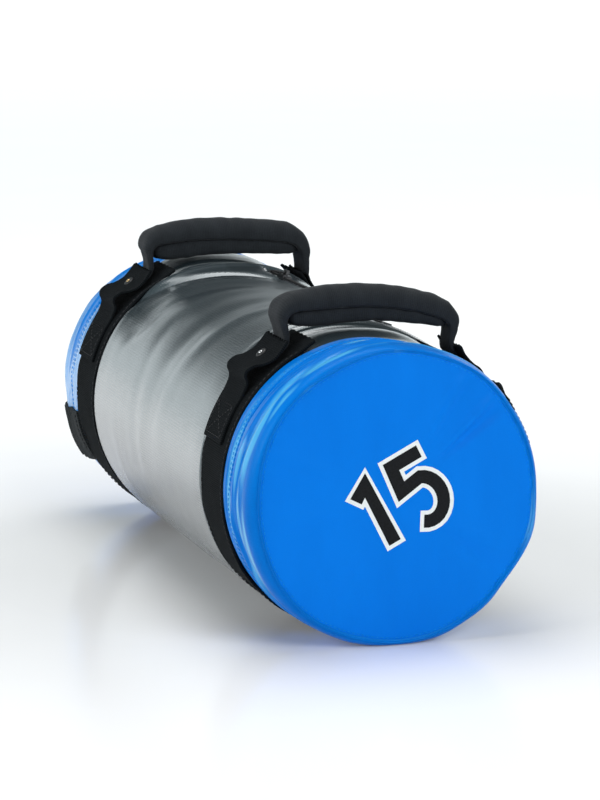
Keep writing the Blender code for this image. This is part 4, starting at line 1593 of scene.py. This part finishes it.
@dataclass
class StrapRing:
    """A webbing ring, open at the crown with its cut ends lifted, and its stitching."""

    end: End
    width: float = 0.050
    thickness: float = 0.0020
    open_front: float = radians(-25.0)
    tip_run: float = 0.0105
    clearance: float = 0.0004
    wave: float = 0.0004
    far_lift: float = 0.0012
    tooth: float = 0.0010
    stitch_inset: float = 0.0028

    @property
    def tip_lifts(self) -> tuple[float, float]:
        """How far the back and the front cut ends stand off the bag."""
        return (0.0010, 0.0030) if self.end is End.NEAR else (0.0066, 0.0034)

    @property
    def open_back(self) -> float:
        """Angle of the back cut end from the handle's middle plane."""
        return radians(27.5) if self.end is End.NEAR else radians(30.5)

    def build(self) -> None:
        """Make the ring and its edge stitches, and let them stand for its solid."""
        centre = FORM.strap_centre(self.end)
        start = FORM.roll + self.open_back
        end = FORM.roll + 2 * pi + self.open_front
        angle = turn_steps(start, end, 420)[:, None]
        across = turn_steps(-self.width / 2 + 0.0003, self.width / 2 - 0.0003, 24)[None, :]
        back, front = self.tip_lifts
        lift = self.clearance + back * hump((angle - start) * FORM.radius, self.tip_run)
        lift = lift + front * hump((end - angle) * FORM.radius, self.tip_run)
        lift = lift + self.wave * np.sin(angle * 17) * np.abs(across / self.width) * 2
        if self.end is End.FAR:
            lift = lift + self.far_lift * hump(angle - radians(30), radians(22))
        x, angle = np.broadcast_arrays(centre + across, angle)
        grid = FORM.place(x, angle, np.broadcast_to(lift, x.shape))
        for row, inner in ((0, 2), (-1, -3)):
            grid[row] = jagged(grid[row], unit(grid[row] - grid[inner]), self.tooth)
        strap = cloth_sheet(f"{self.end.label}_strap_webbing", grid, thickness=self.thickness,
                            round_edges=0.0005)
        dress_on_bag(strap, WEBBING, "webbing", f"{self.end.label}_base_strap")
        around = np.linspace(start + 0.12, end - 0.12, 700)
        rows = []
        for offset in (-self.width / 2 + self.stitch_inset, self.width / 2 - self.stitch_inset):
            line = FORM.place(np.full_like(around, centre + offset), around, 0.0005)
            rows.append((line, ring_normals(around)))
        stitches = stitch_rows(f"{self.end.label}_strap_stitches", rows, length=0.0028)
        dress_on_bag(stitches, BLACK_THREAD, "webbing")


def jagged(row: Points, along: Points, depth: float, tooth: int = 4) -> Points:
    """A cut end as pinking shears leave it: teeth along the row.

    Args:
        row: Points of the end row.
        along: The direction in which the teeth point.
        depth: Depth of a tooth.
        tooth: Number of points to a tooth.

    Returns:
        The moved row.
    """
    phase = np.arange(len(row)) % tooth / tooth
    return row + along * (depth * (1 - np.abs(2 * phase - 1)))[:, None]


# The outer line of the webbing at each root: degrees from the handle's middle plane and millimetres over the bag
ROOT_ROWS = {
    Side.FRONT: ((77.5, 2.3), (70, 2.3), (63, 2.3), (57, 2.9), (53.4, 5.2), (52.3, 8.2), (50.6, 10.4),
                 (47.6, 9.6), (44.8, 6.9), (41.0, 5.4), (37.5, 6.2), (34.0, 8.4)),
    Side.BACK: ((77.5, 2.3), (70, 2.3), (63, 2.3), (56, 2.5), (51.0, 3.6), (48.2, 5.6), (45.4, 6.2),
                (42.6, 5.6), (40.0, 5.8), (37.0, 7.0), (34.3, 9.4))}


@dataclass
class HandleRoot:
    """Webbing that ties one leg of a handle to its ring: sewn tail, slack elbow, rivet and pinked end."""

    end: End
    side: Side
    body: str
    width: float = 0.038
    top_width: float = 0.044
    thickness: float = 0.0018
    sewn: tuple[float, float] = (radians(75.5), radians(63))
    sewn_inset: float = 0.004
    rivet_angle: float = radians(41)
    head: tuple = ((0.0016, 0.0010), (0.0024, 0.0011), (0.0033, 0.0009), (0.0040, 0.0004), (0.00425, -0.0001),
                   (0.0041, -0.0003), (0.0015, -0.0004), (0.0015, -0.0055))
    # Profile of the bright metal disc on the head, a painted highlight
    head_centre: tuple = ((0.0004, 0.00165), (0.0010, 0.00155), (0.0015, 0.00125), (0.0017, 0.0009),
                          (0.0016, 0.0004))
    curl: float = 0.0012
    sag: float = 0.0011
    tooth: float = 0.0020
    bend_start: float = 0.080
    bend_end: float = 0.100

    @property
    def x(self) -> float:
        """Place of the root's middle along the bag."""
        return FORM.handle_centre(self.end)

    def profile(self) -> Points:
        """The webbing's outer line as angle from the handle's middle plane and height on the bag.

        Returns:
            Rows of angle and height.
        """
        scale = FORM.radius
        flat = [(radians(a) * scale, h / 1000) for a, h in ROOT_ROWS[self.side]]
        path = smooth_path(flat, 120)
        return np.stack([path[:, 0] / scale, path[:, 1]], axis=1)

    def build(self) -> None:
        """Make the webbing, bake its transform, and set its rivet and stitches."""
        rows = []
        for turn, height in self.profile():
            angle = FORM.roll + self.side.value * turn
            lifted = float(np.clip((height - 0.0026) / 0.006, 0.0, 1.0))
            reach = float(np.clip((radians(56) - turn) / radians(14), 0.0, 1.0))
            width = self.width + (self.top_width - self.width) * reach
            across = turn_steps(-self.width / 2, width - self.width / 2, 36)
            curl = self.curl * lifted * (2 * across / self.width) ** 2
            sag = -self.sag * reach * np.clip((across - 0.008) / 0.014, 0.0, 1.0)
            rows.append(FORM.place(self.x + across, np.full_like(across, angle), height + curl + sag))
        grid = np.array(rows)
        grid[-1] = jagged(grid[-1], unit(grid[-1] - grid[-3]), self.tooth)
        if self.side is Side.BACK:
            grid = grid[:, ::-1]
        name = f"{self.end.label}_{self.side.label}_root"
        webbing = cloth_sheet(name, grid, thickness=self.thickness, round_edges=0.0004)
        dress(webbing, WEBBING, "webbing", f"{name}_webbing")
        self.bend(webbing)
        self.build_rivet(name)
        self.build_stitches(name)

    def bend(self, piece: bpy.types.Object) -> None:
        """Bake a piece's transform into its mesh."""
        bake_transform(piece)

    def turned(self, name: str, profile: Sequence[tuple[float, float]], count: int = 28) -> bpy.types.Object:
        """A small turned piece standing on the webbing at the rivet's place.

        Args:
            name: The piece's name.
            profile: Radius and height of its rings, from its top to its foot.
            count: Sides of the piece.

        Returns:
            The new object, in place.
        """
        turns = np.arange(count) * 2 * pi / count
        grid = np.array([[(r * cos(t), r * sin(t), h) for t in turns] for r, h in profile])
        made = grid_object(name, grid, around=True)
        close_ends(made)
        angle = FORM.roll + self.side.value * self.rivet_angle
        heights = self.profile()[::-1]
        height = float(np.interp(self.rivet_angle, heights[:, 0], heights[:, 1]))
        out = Vector((0.0, sin(angle), cos(angle)))
        along = Vector((1.0, 0.0, 0.0))
        turn = Matrix((along, out.cross(along), out)).transposed().to_4x4()
        spot = FORM.place(np.array(self.x), np.array(angle), height + 0.0003)
        made.matrix_world = Matrix.Translation(Vector(spot)) @ turn
        return made

    def build_rivet(self, name: str) -> None:
        """A black-lacquered rivet head through the webbing, with a bright metal disc at its centre that stands in
        for its highlight: a painted highlight, brass at the far end and nickel at the near one.

        Args:
            name: The root's name.
        """
        head = self.turned(f"{name}_rivet_head", self.head)
        dress_on_bag(head, RIVET_BLACK, "plated_metal", f"{name.replace('_root', '')}_rivet")
        # Painted highlight: a small bright metal disc at the head's centre
        centre = self.turned(f"{name}_rivet_centre", self.head_centre, 20)
        dress_on_bag(centre, BRASS_PAINTED_HIGHLIGHT if self.end is End.FAR else NICKEL_PAINTED_HIGHLIGHT, "plated_metal")

    def build_stitches(self, name: str) -> None:
        """A sewn box with a cross on the flat tail.

        Args:
            name: The root's name.
        """
        low, high = self.sewn
        edge = self.width / 2 - self.sewn_inset
        turns = [(low, -edge), (high, -edge), (high, edge), (low, edge), (low, -edge), (high, edge),
                 (high, -edge), (low, edge)]
        rows = []
        for (a, s), (b, t) in zip(turns, turns[1:]):
            share = np.linspace(0.0, 1.0, 60)
            angle = FORM.roll + self.side.value * (a + (b - a) * share)
            x = self.x + s + (t - s) * share
            rows.append((FORM.place(x, angle, 0.0024), ring_normals(angle)))
        stitches = stitch_rows(f"{name}_stitches", rows, length=0.0024, thread=0.00032)
        dress_on_bag(stitches, BLACK_THREAD, "webbing")


@dataclass(frozen=True)
class HandleKnot:
    """One place along a handle: where its line runs in the ring plane and how thick it is there, in mm."""

    side: float
    height: float
    above: float
    below: float
    half_width: float
    padding: float
    twist: float = 0.0


# The band of each handle, from its front foot over the grip to its back foot
BAND_ROWS = {
    End.NEAR: (
        (-69.5, 76.8, 1.0, 1.0, 16.0, 0.0), (-65.0, 80.6, 1.0, 1.0, 16.0, 0.0),
        (-60.5, 85.2, 1.3, 1.3, 16.2, 0.0, -2.0), (-57.8, 88.6, 1.8, 1.8, 16.4, 0.0, -4.0),
        (-57.2, 92.5, 2.4, 2.4, 16.5, 0.0, -4.0), (-58.2, 97.5, 2.6, 2.6, 16.5, 0.0, -4.0),
        (-59.8, 102.5, 3.0, 2.8, 16.4, 0.05, -3.0), (-59.8, 106.6, 4.6, 3.0, 16.0, 0.25, -2.0),
        (-57.0, 110.2, 7.2, 2.6, 15.4, 0.55), (-51.5, 112.3, 9.4, 2.0, 14.8, 0.85),
        (-44.0, 113.0, 10.8, 1.6, 14.3, 1.0), (-36.0, 113.8, 12.1, 1.5, 14.0, 1.0),
        (-18.6, 115.3, 12.8, 1.5, 14.0, 1.0), (-1.0, 116.1, 12.5, 1.5, 14.0, 1.0),
        (20.2, 114.8, 12.7, 1.5, 14.0, 1.0), (35.0, 112.6, 12.6, 1.5, 14.0, 1.0),
        (46.2, 110.2, 12.2, 1.8, 14.2, 0.95), (53.5, 107.8, 11.2, 2.2, 14.6, 0.7),
        (58.8, 104.6, 7.6, 2.6, 15.4, 0.35, -4.0), (60.9, 100.4, 4.2, 2.8, 16.0, 0.1, -8.0),
        (61.0, 95.6, 2.7, 2.7, 16.4, 0.0, -10.0), (60.4, 91.2, 2.3, 2.3, 16.4, 0.0, -10.0),
        (60.6, 87.6, 1.8, 1.8, 16.4, 0.0, -6.0), (62.6, 83.8, 1.3, 1.3, 16.2, 0.0),
        (66.4, 79.8, 1.0, 1.0, 16.0, 0.0), (70.6, 76.0, 1.0, 1.0, 16.0, 0.0)),
    End.FAR: (
        (-69.5, 76.8, 1.0, 1.0, 16.0, 0.0), (-65.0, 80.6, 1.0, 1.0, 16.0, 0.0),
        (-60.4, 85.0, 1.3, 1.3, 16.2, 0.0, -4.0), (-57.0, 88.8, 1.8, 1.8, 16.4, 0.0, -8.0),
        (-56.0, 92.8, 2.4, 2.4, 16.5, 0.0, -8.0), (-56.4, 98.0, 2.6, 2.6, 16.5, 0.0, -8.0),
        (-57.6, 103.5, 3.0, 2.8, 16.4, 0.05, -6.0), (-57.6, 108.2, 5.4, 3.0, 16.0, 0.3, -3.0),
        (-54.6, 111.4, 8.6, 2.4, 15.4, 0.65), (-48.0, 113.0, 11.2, 1.8, 14.6, 0.95),
        (-34.0, 115.2, 12.7, 1.5, 14.0, 1.0), (-20.8, 116.5, 13.4, 1.5, 14.0, 1.0),
        (-5.0, 117.1, 13.9, 1.5, 14.0, 1.0), (10.8, 117.2, 13.9, 1.5, 14.0, 1.0),
        (26.0, 116.9, 13.8, 1.5, 14.0, 1.0), (40.2, 116.5, 13.6, 1.5, 14.0, 1.0),
        (50.0, 115.9, 13.2, 1.8, 14.3, 0.95), (57.6, 113.4, 10.4, 2.4, 14.9, 0.65),
        (62.6, 108.6, 6.6, 2.9, 15.7, 0.3, -2.0), (64.6, 102.6, 3.4, 2.8, 16.2, 0.05, -3.0),
        (65.6, 96.8, 2.6, 2.6, 16.4, 0.0, -3.0), (65.9, 91.8, 2.3, 2.3, 16.4, 0.0, -3.0),
        (65.6, 87.6, 1.8, 1.8, 16.4, 0.0, -3.0), (66.0, 83.6, 1.3, 1.3, 16.2, 0.0),
        (68.0, 79.6, 1.0, 1.0, 16.0, 0.0), (71.4, 75.2, 1.0, 1.0, 16.0, 0.0))}

# The padded roll beneath each grip
ROLL_ROWS = {
    End.NEAR: (
        (-56.0, 106.6, 0.8, 0.8, 3.0, 1.0), (-55.4, 106.6, 4.0, 4.0, 9.4, 1.0),
        (-53.2, 106.6, 5.6, 5.6, 11.6, 1.0), (-47.0, 106.6, 6.5, 6.5, 12.4, 1.0),
        (-36.0, 107.2, 7.0, 7.0, 12.6, 1.0), (-18.0, 109.4, 6.8, 6.8, 12.6, 1.0),
        (3.0, 111.0, 6.4, 6.4, 12.6, 1.0), (24.5, 109.6, 6.0, 6.0, 12.6, 1.0),
        (42.0, 107.4, 5.2, 5.2, 12.4, 1.0), (51.0, 105.4, 4.4, 4.4, 11.8, 1.0),
        (55.2, 104.0, 3.2, 3.2, 9.8, 1.0), (56.6, 103.4, 0.8, 0.8, 3.0, 1.0)),
    End.FAR: (
        (-55.0, 106.0, 0.8, 0.8, 3.0, 1.0), (-54.4, 106.0, 4.2, 4.2, 9.4, 1.0),
        (-52.2, 106.0, 6.2, 6.2, 11.6, 1.0), (-44.0, 106.4, 7.6, 7.6, 12.5, 1.0),
        (-28.7, 108.6, 7.9, 7.9, 12.7, 1.0), (-12.0, 110.8, 7.4, 7.4, 12.7, 1.0),
        (6.0, 111.6, 7.1, 7.1, 12.7, 1.0), (24.0, 111.8, 6.8, 6.8, 12.7, 1.0),
        (42.0, 111.5, 6.6, 6.6, 12.5, 1.0), (53.0, 110.8, 5.8, 5.8, 11.8, 1.0),
        (58.4, 110.2, 4.0, 4.0, 9.6, 1.0), (60.0, 110.0, 0.8, 0.8, 3.0, 1.0))}


@dataclass
class CarryHandle:
    """A padded handle: flat legs, a band of cover over the grip, and the padded roll beneath it."""

    end: End
    around: int = 64
    fill: float = 0.85
    fade: float = 0.004
    bend_start: float = 0.084
    bend_end: float = 0.100

    @property
    def body(self) -> str:
        """Name of the handle's body, handed to its roots, which do not use it."""
        return f"{self.end.label}_handle"

    @property
    def x(self) -> float:
        """Place of the handle's middle along the bag."""
        return FORM.handle_centre(self.end)

    def section(self, above: float, below: float, half_width: float, padding: float) -> Points:
        """The outline across the handle.

        Args:
            above: Height over the line.
            below: Depth under the line.
            half_width: Half the width along the bag.
            padding: 0 on flat webbing, 1 on the padded grip.

        Returns:
            Points round the section: along the bag, and out from the line.
        """
        turn = np.arange(160) * 2 * pi / 160
        power_above = 2.0 / (5.5 - 3.2 * padding)
        power_below = 2.0 / (5.5 - 1.6 * padding)
        cosine, sine = np.cos(turn), np.sin(turn)
        power = np.where(sine >= 0, power_above, power_below)
        along = half_width * np.sign(cosine) * np.abs(cosine) ** power
        out = np.where(sine >= 0, above, below) * np.sign(sine) * np.abs(sine) ** power
        closed = np.stack([np.append(along, along[0]), np.append(out, out[0])], axis=1)
        run = run_lengths(closed)
        return sampled(closed, run, np.linspace(0.0, run[-1], self.around, endpoint=False))

    def swept(self, name: str, rows: tuple, count: int, creases: float) -> bpy.types.Object:
        """A closed tube through a line's knots.

        Args:
            name: The piece's name.
            rows: The numbers of each knot of its line.
            count: Number of sections less one.
            creases: Depth of the small creases across the padding.

        Returns:
            The new object.
        """
        knots = [HandleKnot(*row) for row in rows]
        line = smooth_path([(k.side / 1000, k.height / 1000) for k in knots], count)
        near = [int(np.argmin(np.linalg.norm(line - np.array([k.side, k.height]) / 1000, axis=1))) for k in knots]
        above, below, width, padding, twist = (
            np.interp(np.arange(count + 1), near, [getattr(k, field) for k in knots])
            for field in ("above", "below", "half_width", "padding", "twist"))
        above, below, width = above / 1000, below / 1000, width / 1000
        normals = path_normals(line)
        normals *= np.sign(normals[len(line) // 2, 1])
        chance = np.random.default_rng(31 if self.end is End.NEAR else 32)
        waves = [(chance.uniform(0, 2 * pi), chance.uniform(0.18, 0.5), chance.uniform(-2.0, 2.0))
                 for _ in range(7)]
        grid = []
        for k in range(count + 1):
            ring = self.section(above[k], below[k], width[k], padding[k])
            lean = sin(radians(twist[k]))
            side_angle = np.arctan2(ring[:, 1], ring[:, 0])
            ripple = sum(np.sin(k * rate + phase + swing * side_angle) for phase, rate, swing in waves)
            ripple = ripple / len(waves)
            swell = 1 + creases * padding[k] * ripple
            row = []
            for (across, out), grow in zip(ring, swell):
                side = line[k, 0] + normals[k, 0] * out * grow + across * lean
                height = line[k, 1] + normals[k, 1] * out * grow
                row.append(tuple(FORM.ring_plane(self.x + across * grow, side, height)))
            grid.append(row)
        made = cloth_sheet(name, np.array(grid), around=True)
        close_ends(made)
        return made

    def finish_pad(self, piece: bpy.types.Object, held_below: float, *nodes: str) -> None:
        """Swell a padded piece, dress it, and bake its transform.

        Args:
            piece: The piece.
            held_below: Height over the bag's axis under which it is flat webbing and keeps its shape.
            nodes: Solid nodes that it stands for.
        """
        flat = np.array([vertex.co for vertex in piece.data.vertices])
        FOAM_SWELLING.run(piece, np.clip((FORM.axis_height + held_below - flat[:, 2]) / self.fade, 0.0, 1.0))
        dress(piece, COVER, "grip_cover", *nodes)
        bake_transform(piece)

    def build(self) -> None:
        """Make the band, the roll beneath it, and both roots."""
        label = self.end.label
        band = self.swept(f"{label}_padded_grip", BAND_ROWS[self.end], 260, 0.035)
        self.finish_pad(band, 0.105, f"{label}_grip_cover", f"{label}_handle_webbing", f"{label}_grip_foam")
        roll = self.swept(f"{label}_grip_roll", ROLL_ROWS[self.end], 150, 0.05)
        self.finish_pad(roll, 0.0)
        for side in Side:
            HandleRoot(self.end, side, self.body).build()


@dataclass
class SideLoop:
    """A short webbing loop that stands off the cap sleeve, sewn down beside the strap and at the rim."""

    end: End
    half_angle: float = radians(11.5)
    thickness: float = 0.0020
    rise: float = 0.0034
    strap_gap: float = 0.0009
    rim_gap: float = 0.0023
    clearance: float = 0.0004
    taut_share: float = 0.62
    tuck: float = 0.0027
    stitch_inset: float = 0.02

    @property
    def middle(self) -> float:
        """The loop's place round the bag."""
        return FORM.roll + (radians(59.5) if self.end is End.NEAR else radians(-114))

    def build(self) -> None:
        """Make the loop and its stitches."""
        cap = EndCap(self.end)
        start, stop = FORM.strap_outer + self.strap_gap, FORM.half_length - self.rim_gap
        flat, rise = self.clearance + self.thickness, self.rise
        taut = start + self.taut_share * (stop - start)
        knots = [(start, flat), (start + 0.004, flat + 0.0004), (start + 0.010, flat + 0.6 * rise),
                 (start + 0.018, flat + rise), (taut - 0.004, flat + rise), (taut, flat + 0.9 * rise),
                 (taut + 0.005, flat + 0.5 * rise), (stop - 0.006, flat + 0.0002), (stop, flat)]
        path = smooth_path(knots, 100)

        def height(x: Points, away: Points) -> Points:
            """Height of the loop's outside over the sleeve, this far along it and off its middle.

            Args:
                x: Distance along the bag.
                away: Angle off the loop's middle.

            Returns:
                The heights.
            """
            line = np.interp(x, path[:, 0], path[:, 1])
            if self.end is End.NEAR:
                lower = np.clip((away + self.half_angle) / radians(8.0), 0.0, 1.0)
                tucked = np.clip((x - start - 0.012) / (stop - start - 0.024), 0.0, 1.0)
                return flat + (line - flat) * (1 - 0.95 * lower) - self.tuck * tucked * (0.5 + 0.5 * lower)
            lower = np.clip(0.5 - away / (2 * self.half_angle), 0.0, 1.0)
            return flat + (line - flat) * (0.05 + 0.75 * lower)

        across = turn_steps(-self.half_angle, self.half_angle, 24)
        x, away = np.broadcast_arrays(path[:, :1], across[None, :])
        grid = cap.sleeve_points(x, self.middle + away, height(x, away)) * self.end.mirror
        if self.end is End.NEAR:
            grid = grid[:, ::-1]
        loop = cloth_sheet(f"{self.end.label}_loop_webbing", grid, thickness=self.thickness, round_edges=0.0005)
        finish = WEBBING if self.end is End.NEAR else LOOP_WEBBING
        dress_on_bag(loop, finish, "webbing", f"{self.end.label}_side_loop")
        rows = []
        around = np.linspace(self.middle - self.half_angle + self.stitch_inset,
                             self.middle + self.half_angle - self.stitch_inset, 60)
        for place in (start + 0.003, stop - 0.003, stop - 0.006):
            spots = np.full_like(around, place)
            line = cap.sleeve_points(spots, around, height(spots, around - self.middle) + 0.0002)
            rows.append((line * self.end.mirror, ring_normals(around)))
        stitches = stitch_rows(f"{self.end.label}_loop_stitches", rows)
        dress_on_bag(stitches, BLACK_THREAD, "webbing")


@dataclass
class Zipper:
    """The zipper along the body: tapes, coil, stops, slider and cord puller."""

    pitch: float = 0.0016
    coil_space: float = 0.006
    tooth_reach: float = 0.0021
    tooth_half: float = 0.00072
    tooth_height: float = 0.00085
    tooth_sides: int = 8
    tooth: tuple = ((-0.30, 0.35), (-0.10, 1.0), (0.55, 1.0), (1.0, 0.7), (1.08, 0.3))
    coil_lift: float = 0.0004
    tape_half: float = 0.0072
    tape_gap: float = 0.0004
    tape_depth: float = 0.0006
    tape_thickness: float = 0.0006
    worn_edge: float = 0.0004

    def build_tapes(self) -> None:
        """Two woven tapes, just under the body's surface in its slot."""
        for side in Side:
            turns = ZIP_ANGLE + side.value * np.linspace(self.tape_gap, self.tape_half, 8) / FORM.radius
            x, angle = np.broadcast_arrays(turn_steps(-ZIP_HALF, ZIP_HALF, 120)[:, None], turns[None, :])
            grid = FORM.place(x, angle, -self.tape_depth)
            if side is Side.FRONT:
                grid = grid[:, ::-1]
            tape = cloth_sheet(f"zipper_cloth_{side.label}", grid, thickness=self.tape_thickness)
            dress_on_bag(tape, TAPE, "zipper_tape", f"zipper_tape_{side.label}")

    def build_coil(self) -> None:
        """The closed coil: a row of rounded teeth from either tape, interlocked."""
        count = int(2 * (ZIP_HALF - self.coil_space) / self.pitch)
        sides = self.tooth_sides
        turns = np.arange(sides) * 2 * pi / sides
        verts, faces = [], []
        for tooth in range(count):
            x = -ZIP_HALF + self.coil_space + (tooth + 0.5) * self.pitch
            side = 1 if tooth % 2 else -1
            base = len(verts)
            for share, swell in self.tooth:
                angle = ZIP_ANGLE + side * share * self.tooth_reach / FORM.radius
                middle = FORM.place(np.array(x), np.array(angle), self.coil_lift)
                half, height = self.tooth_half * swell, self.tooth_height * swell
                verts += [middle + np.array([half * cos(t), 0.0, height * sin(t)]) for t in turns]
            last = len(verts) - sides
            for ring in range(base, last, sides):
                for s in range(sides):
                    n = (s + 1) % sides
                    faces.append((ring + s, ring + n, ring + sides + n, ring + sides + s))
            faces.append(tuple(base + s for s in range(sides))[::-1])
            faces.append(tuple(last + s for s in range(sides)))
        mesh = bpy.data.meshes.new("zipper_coil")
        mesh.from_pydata([tuple(v) for v in verts], [], faces)
        mesh.shade_smooth()
        coil = linked("zipper_coil", mesh)
        dress_on_bag(coil, COIL, "black_plastic", "zipper_chain")

    def build_hardware(self, nodes: dict[str, bpy.types.Object]) -> None:
        """Finish the stops, the slider and the puller, which keep their solid shapes.

        Args:
            nodes: The solid nodes by name.
        """
        for name in ("zipper_near_stop", "zipper_far_stop", "zipper_slider"):
            node = nodes[name]
            bevel = node.modifiers.new("worn_edges", 'BEVEL')
            bevel.width = self.worn_edge
            bevel.segments = 3
            bevel.limit_method = 'ANGLE'
            keep_solid(node, DARK_METAL)
        keep_solid(nodes["zipper_puller"], CORD)

    def build(self, nodes: dict[str, bpy.types.Object]) -> None:
        """Make the whole zipper.

        Args:
            nodes: The solid nodes by name.
        """
        self.build_tapes()
        self.build_coil()
        self.build_hardware(nodes)


@dataclass
class Studio:
    """The plain pale floor, soft lights and the camera."""

    lens: float = 155.53
    camera_place: tuple[float, float, float] = (2.3193, -0.7417, 0.5733)
    camera_back: tuple[float, float, float] = (0.93477, -0.30453, 0.18275)
    sensor: float = 36.0
    floor_size: float = 24.0
    floor_drop: float = 0.0003
    floor_roughness: float = 0.17
    floor_low: Colour = (0.895, 0.905, 0.91)
    floor_high: Colour = (0.915, 0.925, 0.93)
    # Glow of the floor by distance from the bag: weak close by, a painted shade round the bag, and stronger
    # further out
    glow_reach: float = 8.0
    floor_glow: tuple = ((0.028, 0.05), (0.052, 0.22), (0.10, 0.30), (0.75, 0.62))
    lamp_target: tuple[float, float, float] = (0.0, 0.0, 0.1)
    wall_tint: Colour = (0.89, 0.975, 1.0)
    wall_levels: tuple = ((0.0, 1.0), (8.0, 1.0), (12.0, 0.70), (16.5, 0.15), (21.0, 0.06), (90.0, 0.14))
    lamps: tuple = (("side_softbox", (0.15, -1.9, 0.85), (1.3, 0.9), 16.0),
                    ("front_softbox", (2.4, 0.7, 1.7), (1.4, 1.4), 38.0),
                    ("top_softbox", (-0.3, -0.2, 2.2), (1.6, 1.6), 28.0),
                    ("back_softbox", (-0.9, 1.9, 1.1), (1.2, 1.0), 10.0))

    def build_camera(self) -> None:
        """A level camera at the photograph's angle."""
        data = bpy.data.cameras.new("camera")
        data.lens = self.lens
        data.sensor_width = self.sensor
        data.clip_start = 0.05
        data.clip_end = 60.0
        camera = linked("camera", data)
        camera.location = self.camera_place
        camera.rotation_mode = 'QUATERNION'
        camera.rotation_quaternion = (-Vector(self.camera_back)).to_track_quat('-Z', 'Y')
        bpy.context.scene.camera = camera

    def build_floor(self) -> None:
        """A wide pale floor with a soft polish, shown white by a little glow of its own that is weaker near the
        bag, a painted shade round it.
        """
        bpy.ops.mesh.primitive_plane_add(size=self.floor_size, location=(0.0, 0.0, -self.floor_drop))
        floor = bpy.context.object
        floor.name = "studio_floor"
        made = Surface("studio_floor", self.floor_roughness)
        grain = made.noise(made.coordinates("Object"), 6.0, 2.0)
        made.feed("Base Color", made.ramp(grain, [(0.3, self.floor_low), (0.7, self.floor_high)]))
        path = made.nodes.new("ShaderNodeLightPath")
        seen = made.math('MAXIMUM', path.outputs["Is Camera Ray"], path.outputs["Is Glossy Ray"])
        seen = made.math('MAXIMUM', seen, path.outputs["Is Transmission Ray"])
        made.feed("Emission Color", (1.0, 1.0, 1.0))
        length = made.nodes.new("ShaderNodeVectorMath")
        length.operation = 'LENGTH'
        made.links.new(made.coordinates("Object"), length.inputs[0])
        # Painted shade: the glow is weaker near the bag, so the floor stays darker round it
        glow = made.ramp(made.math('MULTIPLY', length.outputs["Value"], 1 / self.glow_reach),
                         [(at, grey(level)) for at, level in self.floor_glow])
        made.feed("Emission Strength", made.math('MULTIPLY', seen, glow))
        floor.data.materials.append(made.material)

    def build_light(self, name: str, place: tuple[float, float, float], size: tuple[float, float],
                    power: float) -> None:
        """A soft rectangular lamp that faces the bag.

        Args:
            name: The lamp's name.
            place: Its place.
            size: Its width and height.
            power: Its power in watts.
        """
        data = bpy.data.lights.new(name, 'AREA')
        data.shape = 'RECTANGLE'
        data.size, data.size_y = size
        data.energy = power
        lamp = linked(name, data)
        lamp.location = place
        lamp.rotation_mode = 'QUATERNION'
        lamp.rotation_quaternion = (Vector(self.lamp_target) - Vector(place)).to_track_quat('-Z', 'Y')

    def build_world(self) -> None:
        """A studio whose walls are bright near the floor and dim above, for the same light to every ray."""
        world = bpy.data.worlds.new("studio")
        bpy.context.scene.world = world
        world.use_nodes = True
        nodes, links = world.node_tree.nodes, world.node_tree.links
        place = nodes.new("ShaderNodeTexCoord")
        split = nodes.new("ShaderNodeSeparateXYZ")
        links.new(place.outputs["Generated"], split.inputs["Vector"])
        ramp = nodes.new("ShaderNodeValToRGB")
        set_stops(ramp, [(sin(radians(elevation)), tuple(part * level for part in self.wall_tint))
                         for elevation, level in self.wall_levels])
        links.new(split.outputs["Z"], ramp.inputs["Fac"])
        links.new(ramp.outputs["Color"], nodes["Background"].inputs["Color"])

    def build(self) -> None:
        """Set up the whole studio."""
        self.build_camera()
        self.build_floor()
        self.build_world()
        for lamp in self.lamps:
            self.build_light(*lamp)
        bpy.context.scene.view_settings.view_transform = 'Standard'


def main() -> None:
    """Dress the bag piece by piece and set up the studio."""
    logging.basicConfig(level=logging.INFO, format="%(name)s: %(message)s")
    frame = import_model()
    nodes = frame["nodes"]
    BodyTube().build()
    InnerBag().build()
    near_cap = EndCap(End.NEAR)
    near_cap.build()
    EndCap(End.FAR).build()
    NumberPrint(near_cap).build()
    for end in End:
        StrapRing(end).build()
        CarryHandle(end).build()
        SideLoop(end).build()
    Zipper().build(nodes)
    keep_solid(nodes["liner_tie"], COIL)
    Studio().build()


if __name__ == "__main__":
    main()
